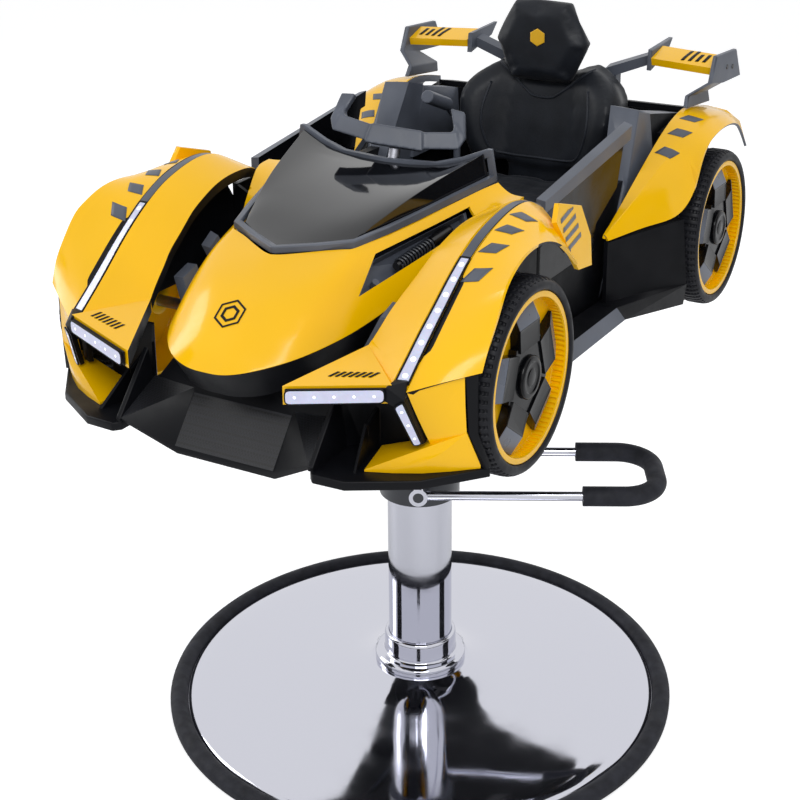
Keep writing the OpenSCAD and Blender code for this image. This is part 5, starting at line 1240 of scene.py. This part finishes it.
class CHAIR_OT_stage(ChairOperator):
    """Pale floor, soft lights and the camera at the photograph's angle"""
    bl_idname = "chair.stage"
    bl_label = "Stage"

    def build(self, sizes):
        scene = bpy.context.scene
        scene.view_settings.view_transform = "Standard"
        self.world(scene)
        self.floor()
        for name, spot, aim, (width, length), power, mirrored in LIGHTS:
            data = bpy.data.lights.new(name, "AREA")
            data.shape, data.size, data.size_y, data.energy = "RECTANGLE", width, length, power
            self.aimed(name, data, spot, Vector(aim) - Vector(spot)).visible_glossy = mirrored
        self.cards()
        camera = bpy.data.cameras.new("camera")
        across = math.cos(CAMERA_ELEVATION)
        back = Vector((math.sin(CAMERA_AZIMUTH)*across, -math.cos(CAMERA_AZIMUTH)*across,
                       math.sin(CAMERA_ELEVATION)))
        spot = Vector(CAMERA_TARGET) + back*CAMERA_DISTANCE
        camera.sensor_width = SENSOR_MM
        camera.lens = FOCAL_LENGTH/PICTURE*SENSOR_MM
        camera.shift_x, camera.shift_y = (pixels/PICTURE for pixels in SHIFT)
        camera.clip_start, camera.clip_end = 0.1, 100
        scene.camera = self.aimed("camera", camera, spot, -back)

    @staticmethod
    def aimed(name, data, spot, way):
        """A light or the camera at a spot, looking a way."""
        made = bpy.data.objects.new(name, data)
        bpy.context.scene.collection.objects.link(made)
        made.location = spot
        made.rotation_mode = "QUATERNION"
        made.rotation_quaternion = way.to_track_quat("-Z", "Y")
        return made

    @staticmethod
    def world(scene):
        """White where the camera, a mirror or glass looks past the object, and a softer light elsewhere."""
        world = bpy.data.worlds.new("studio")
        scene.world = world
        world.use_nodes = True
        tree = world.node_tree
        tree.nodes.clear()
        path = add(tree, "LightPath").outputs
        seen = path["Is Camera Ray"]
        for ray in ("Is Glossy Ray", "Is Transmission Ray"):
            seen = add(tree, "Math", {0: seen, 1: path[ray]}, operation="MAXIMUM").outputs[0]
        strength = add(tree, "MapRange", {"Value": seen, 3: WORLD_LIGHT, 4: WHITE}).outputs[0]
        lit = add(tree, "Background", {"Color": (1, 1, 1, 1), "Strength": strength})
        add(tree, "OutputWorld", {"Surface": lit.outputs[0]})

    @staticmethod
    def floor():
        """A wide white floor, which glows a little to the camera, so that it shows white round the shadow."""
        bm = bmesh.new()
        bmesh.ops.create_grid(bm, x_segments=2, y_segments=2, size=14)
        made = linked("floor", bm)
        white, tree, shader = surface("white_floor", Base_Color=linear("#F4F5F7"), Roughness=0.6)
        path = add(tree, "LightPath")
        lit = add(tree, "Emission", {"Color": (1, 1, 1, 1), "Strength": FLOOR_GLOW})
        both = add(tree, "AddShader", {0: shader.outputs[0], 1: lit.outputs[0]})
        choice = add(tree, "MixShader", {0: path.outputs["Is Camera Ray"], 1: shader.outputs[0],
                                         2: both.outputs[0]})
        end = next(n for n in tree.nodes if n.bl_idname == "ShaderNodeOutputMaterial")
        tree.links.new(choice.outputs[0], end.inputs["Surface"])
        made.data.materials.append(white)

    @staticmethod
    def cards():
        """Dark cards outside the view, which only mirrors see: they draw the edges of the chrome."""
        dark = surface("dark_card", Base_Color=linear("#0C0D10"), Roughness=0.9)[0]
        for name, spot, aim, width, height in CARDS:
            bm = bmesh.new()
            turn = (Vector(aim) - Vector(spot)).to_track_quat("Z", "Y").to_matrix().to_4x4()
            size = Matrix.Diagonal((width, height, 1, 1))
            bmesh.ops.create_grid(bm, x_segments=1, y_segments=1, size=0.5,
                                  matrix=Matrix.Translation(spot) @ turn @ size)
            made = linked(name, bm)
            made.data.materials.append(dark)
            made.visible_camera = made.visible_diffuse = made.visible_shadow = False
            made.visible_transmission = False


class CHAIR_PT_panel(bpy.types.Panel):
    """Lists the chair's pieces in the sidebar"""
    bl_idname = "CHAIR_PT_panel"
    bl_label = "Race car chair"
    bl_space_type = "VIEW_3D"
    bl_region_type = "UI"
    bl_category = "Chair"

    def draw(self, context):
        column = self.layout.column()
        for group in (context.scene.chair_colours, context.scene.chair_sizes):
            for key in group.__annotations__:
                column.prop(group, key)
        for kind in OPERATORS:
            column.operator(kind.bl_idname)


OPERATORS = (CHAIR_OT_pedestal, CHAIR_OT_lever, CHAIR_OT_chassis, CHAIR_OT_shell, CHAIR_OT_bumper,
             CHAIR_OT_vents, CHAIR_OT_lamps, CHAIR_OT_wings, CHAIR_OT_doors, CHAIR_OT_steering,
             CHAIR_OT_wheels, CHAIR_OT_seat, CHAIR_OT_stage)
CLASSES = (ChairColours, ChairSizes, *OPERATORS, CHAIR_PT_panel)


def register():
    for kind in CLASSES:
        bpy.utils.register_class(kind)
    bpy.types.Scene.chair_colours = PointerProperty(type=ChairColours)
    bpy.types.Scene.chair_sizes = PointerProperty(type=ChairSizes)


def unregister():
    del bpy.types.Scene.chair_colours
    del bpy.types.Scene.chair_sizes
    for kind in reversed(CLASSES):
        bpy.utils.unregister_class(kind)


def main():
    register()
    for kind in OPERATORS:
        group, action = kind.bl_idname.split(".")
        getattr(getattr(bpy.ops, group), action)()


if __name__ == "__main__":
    main()
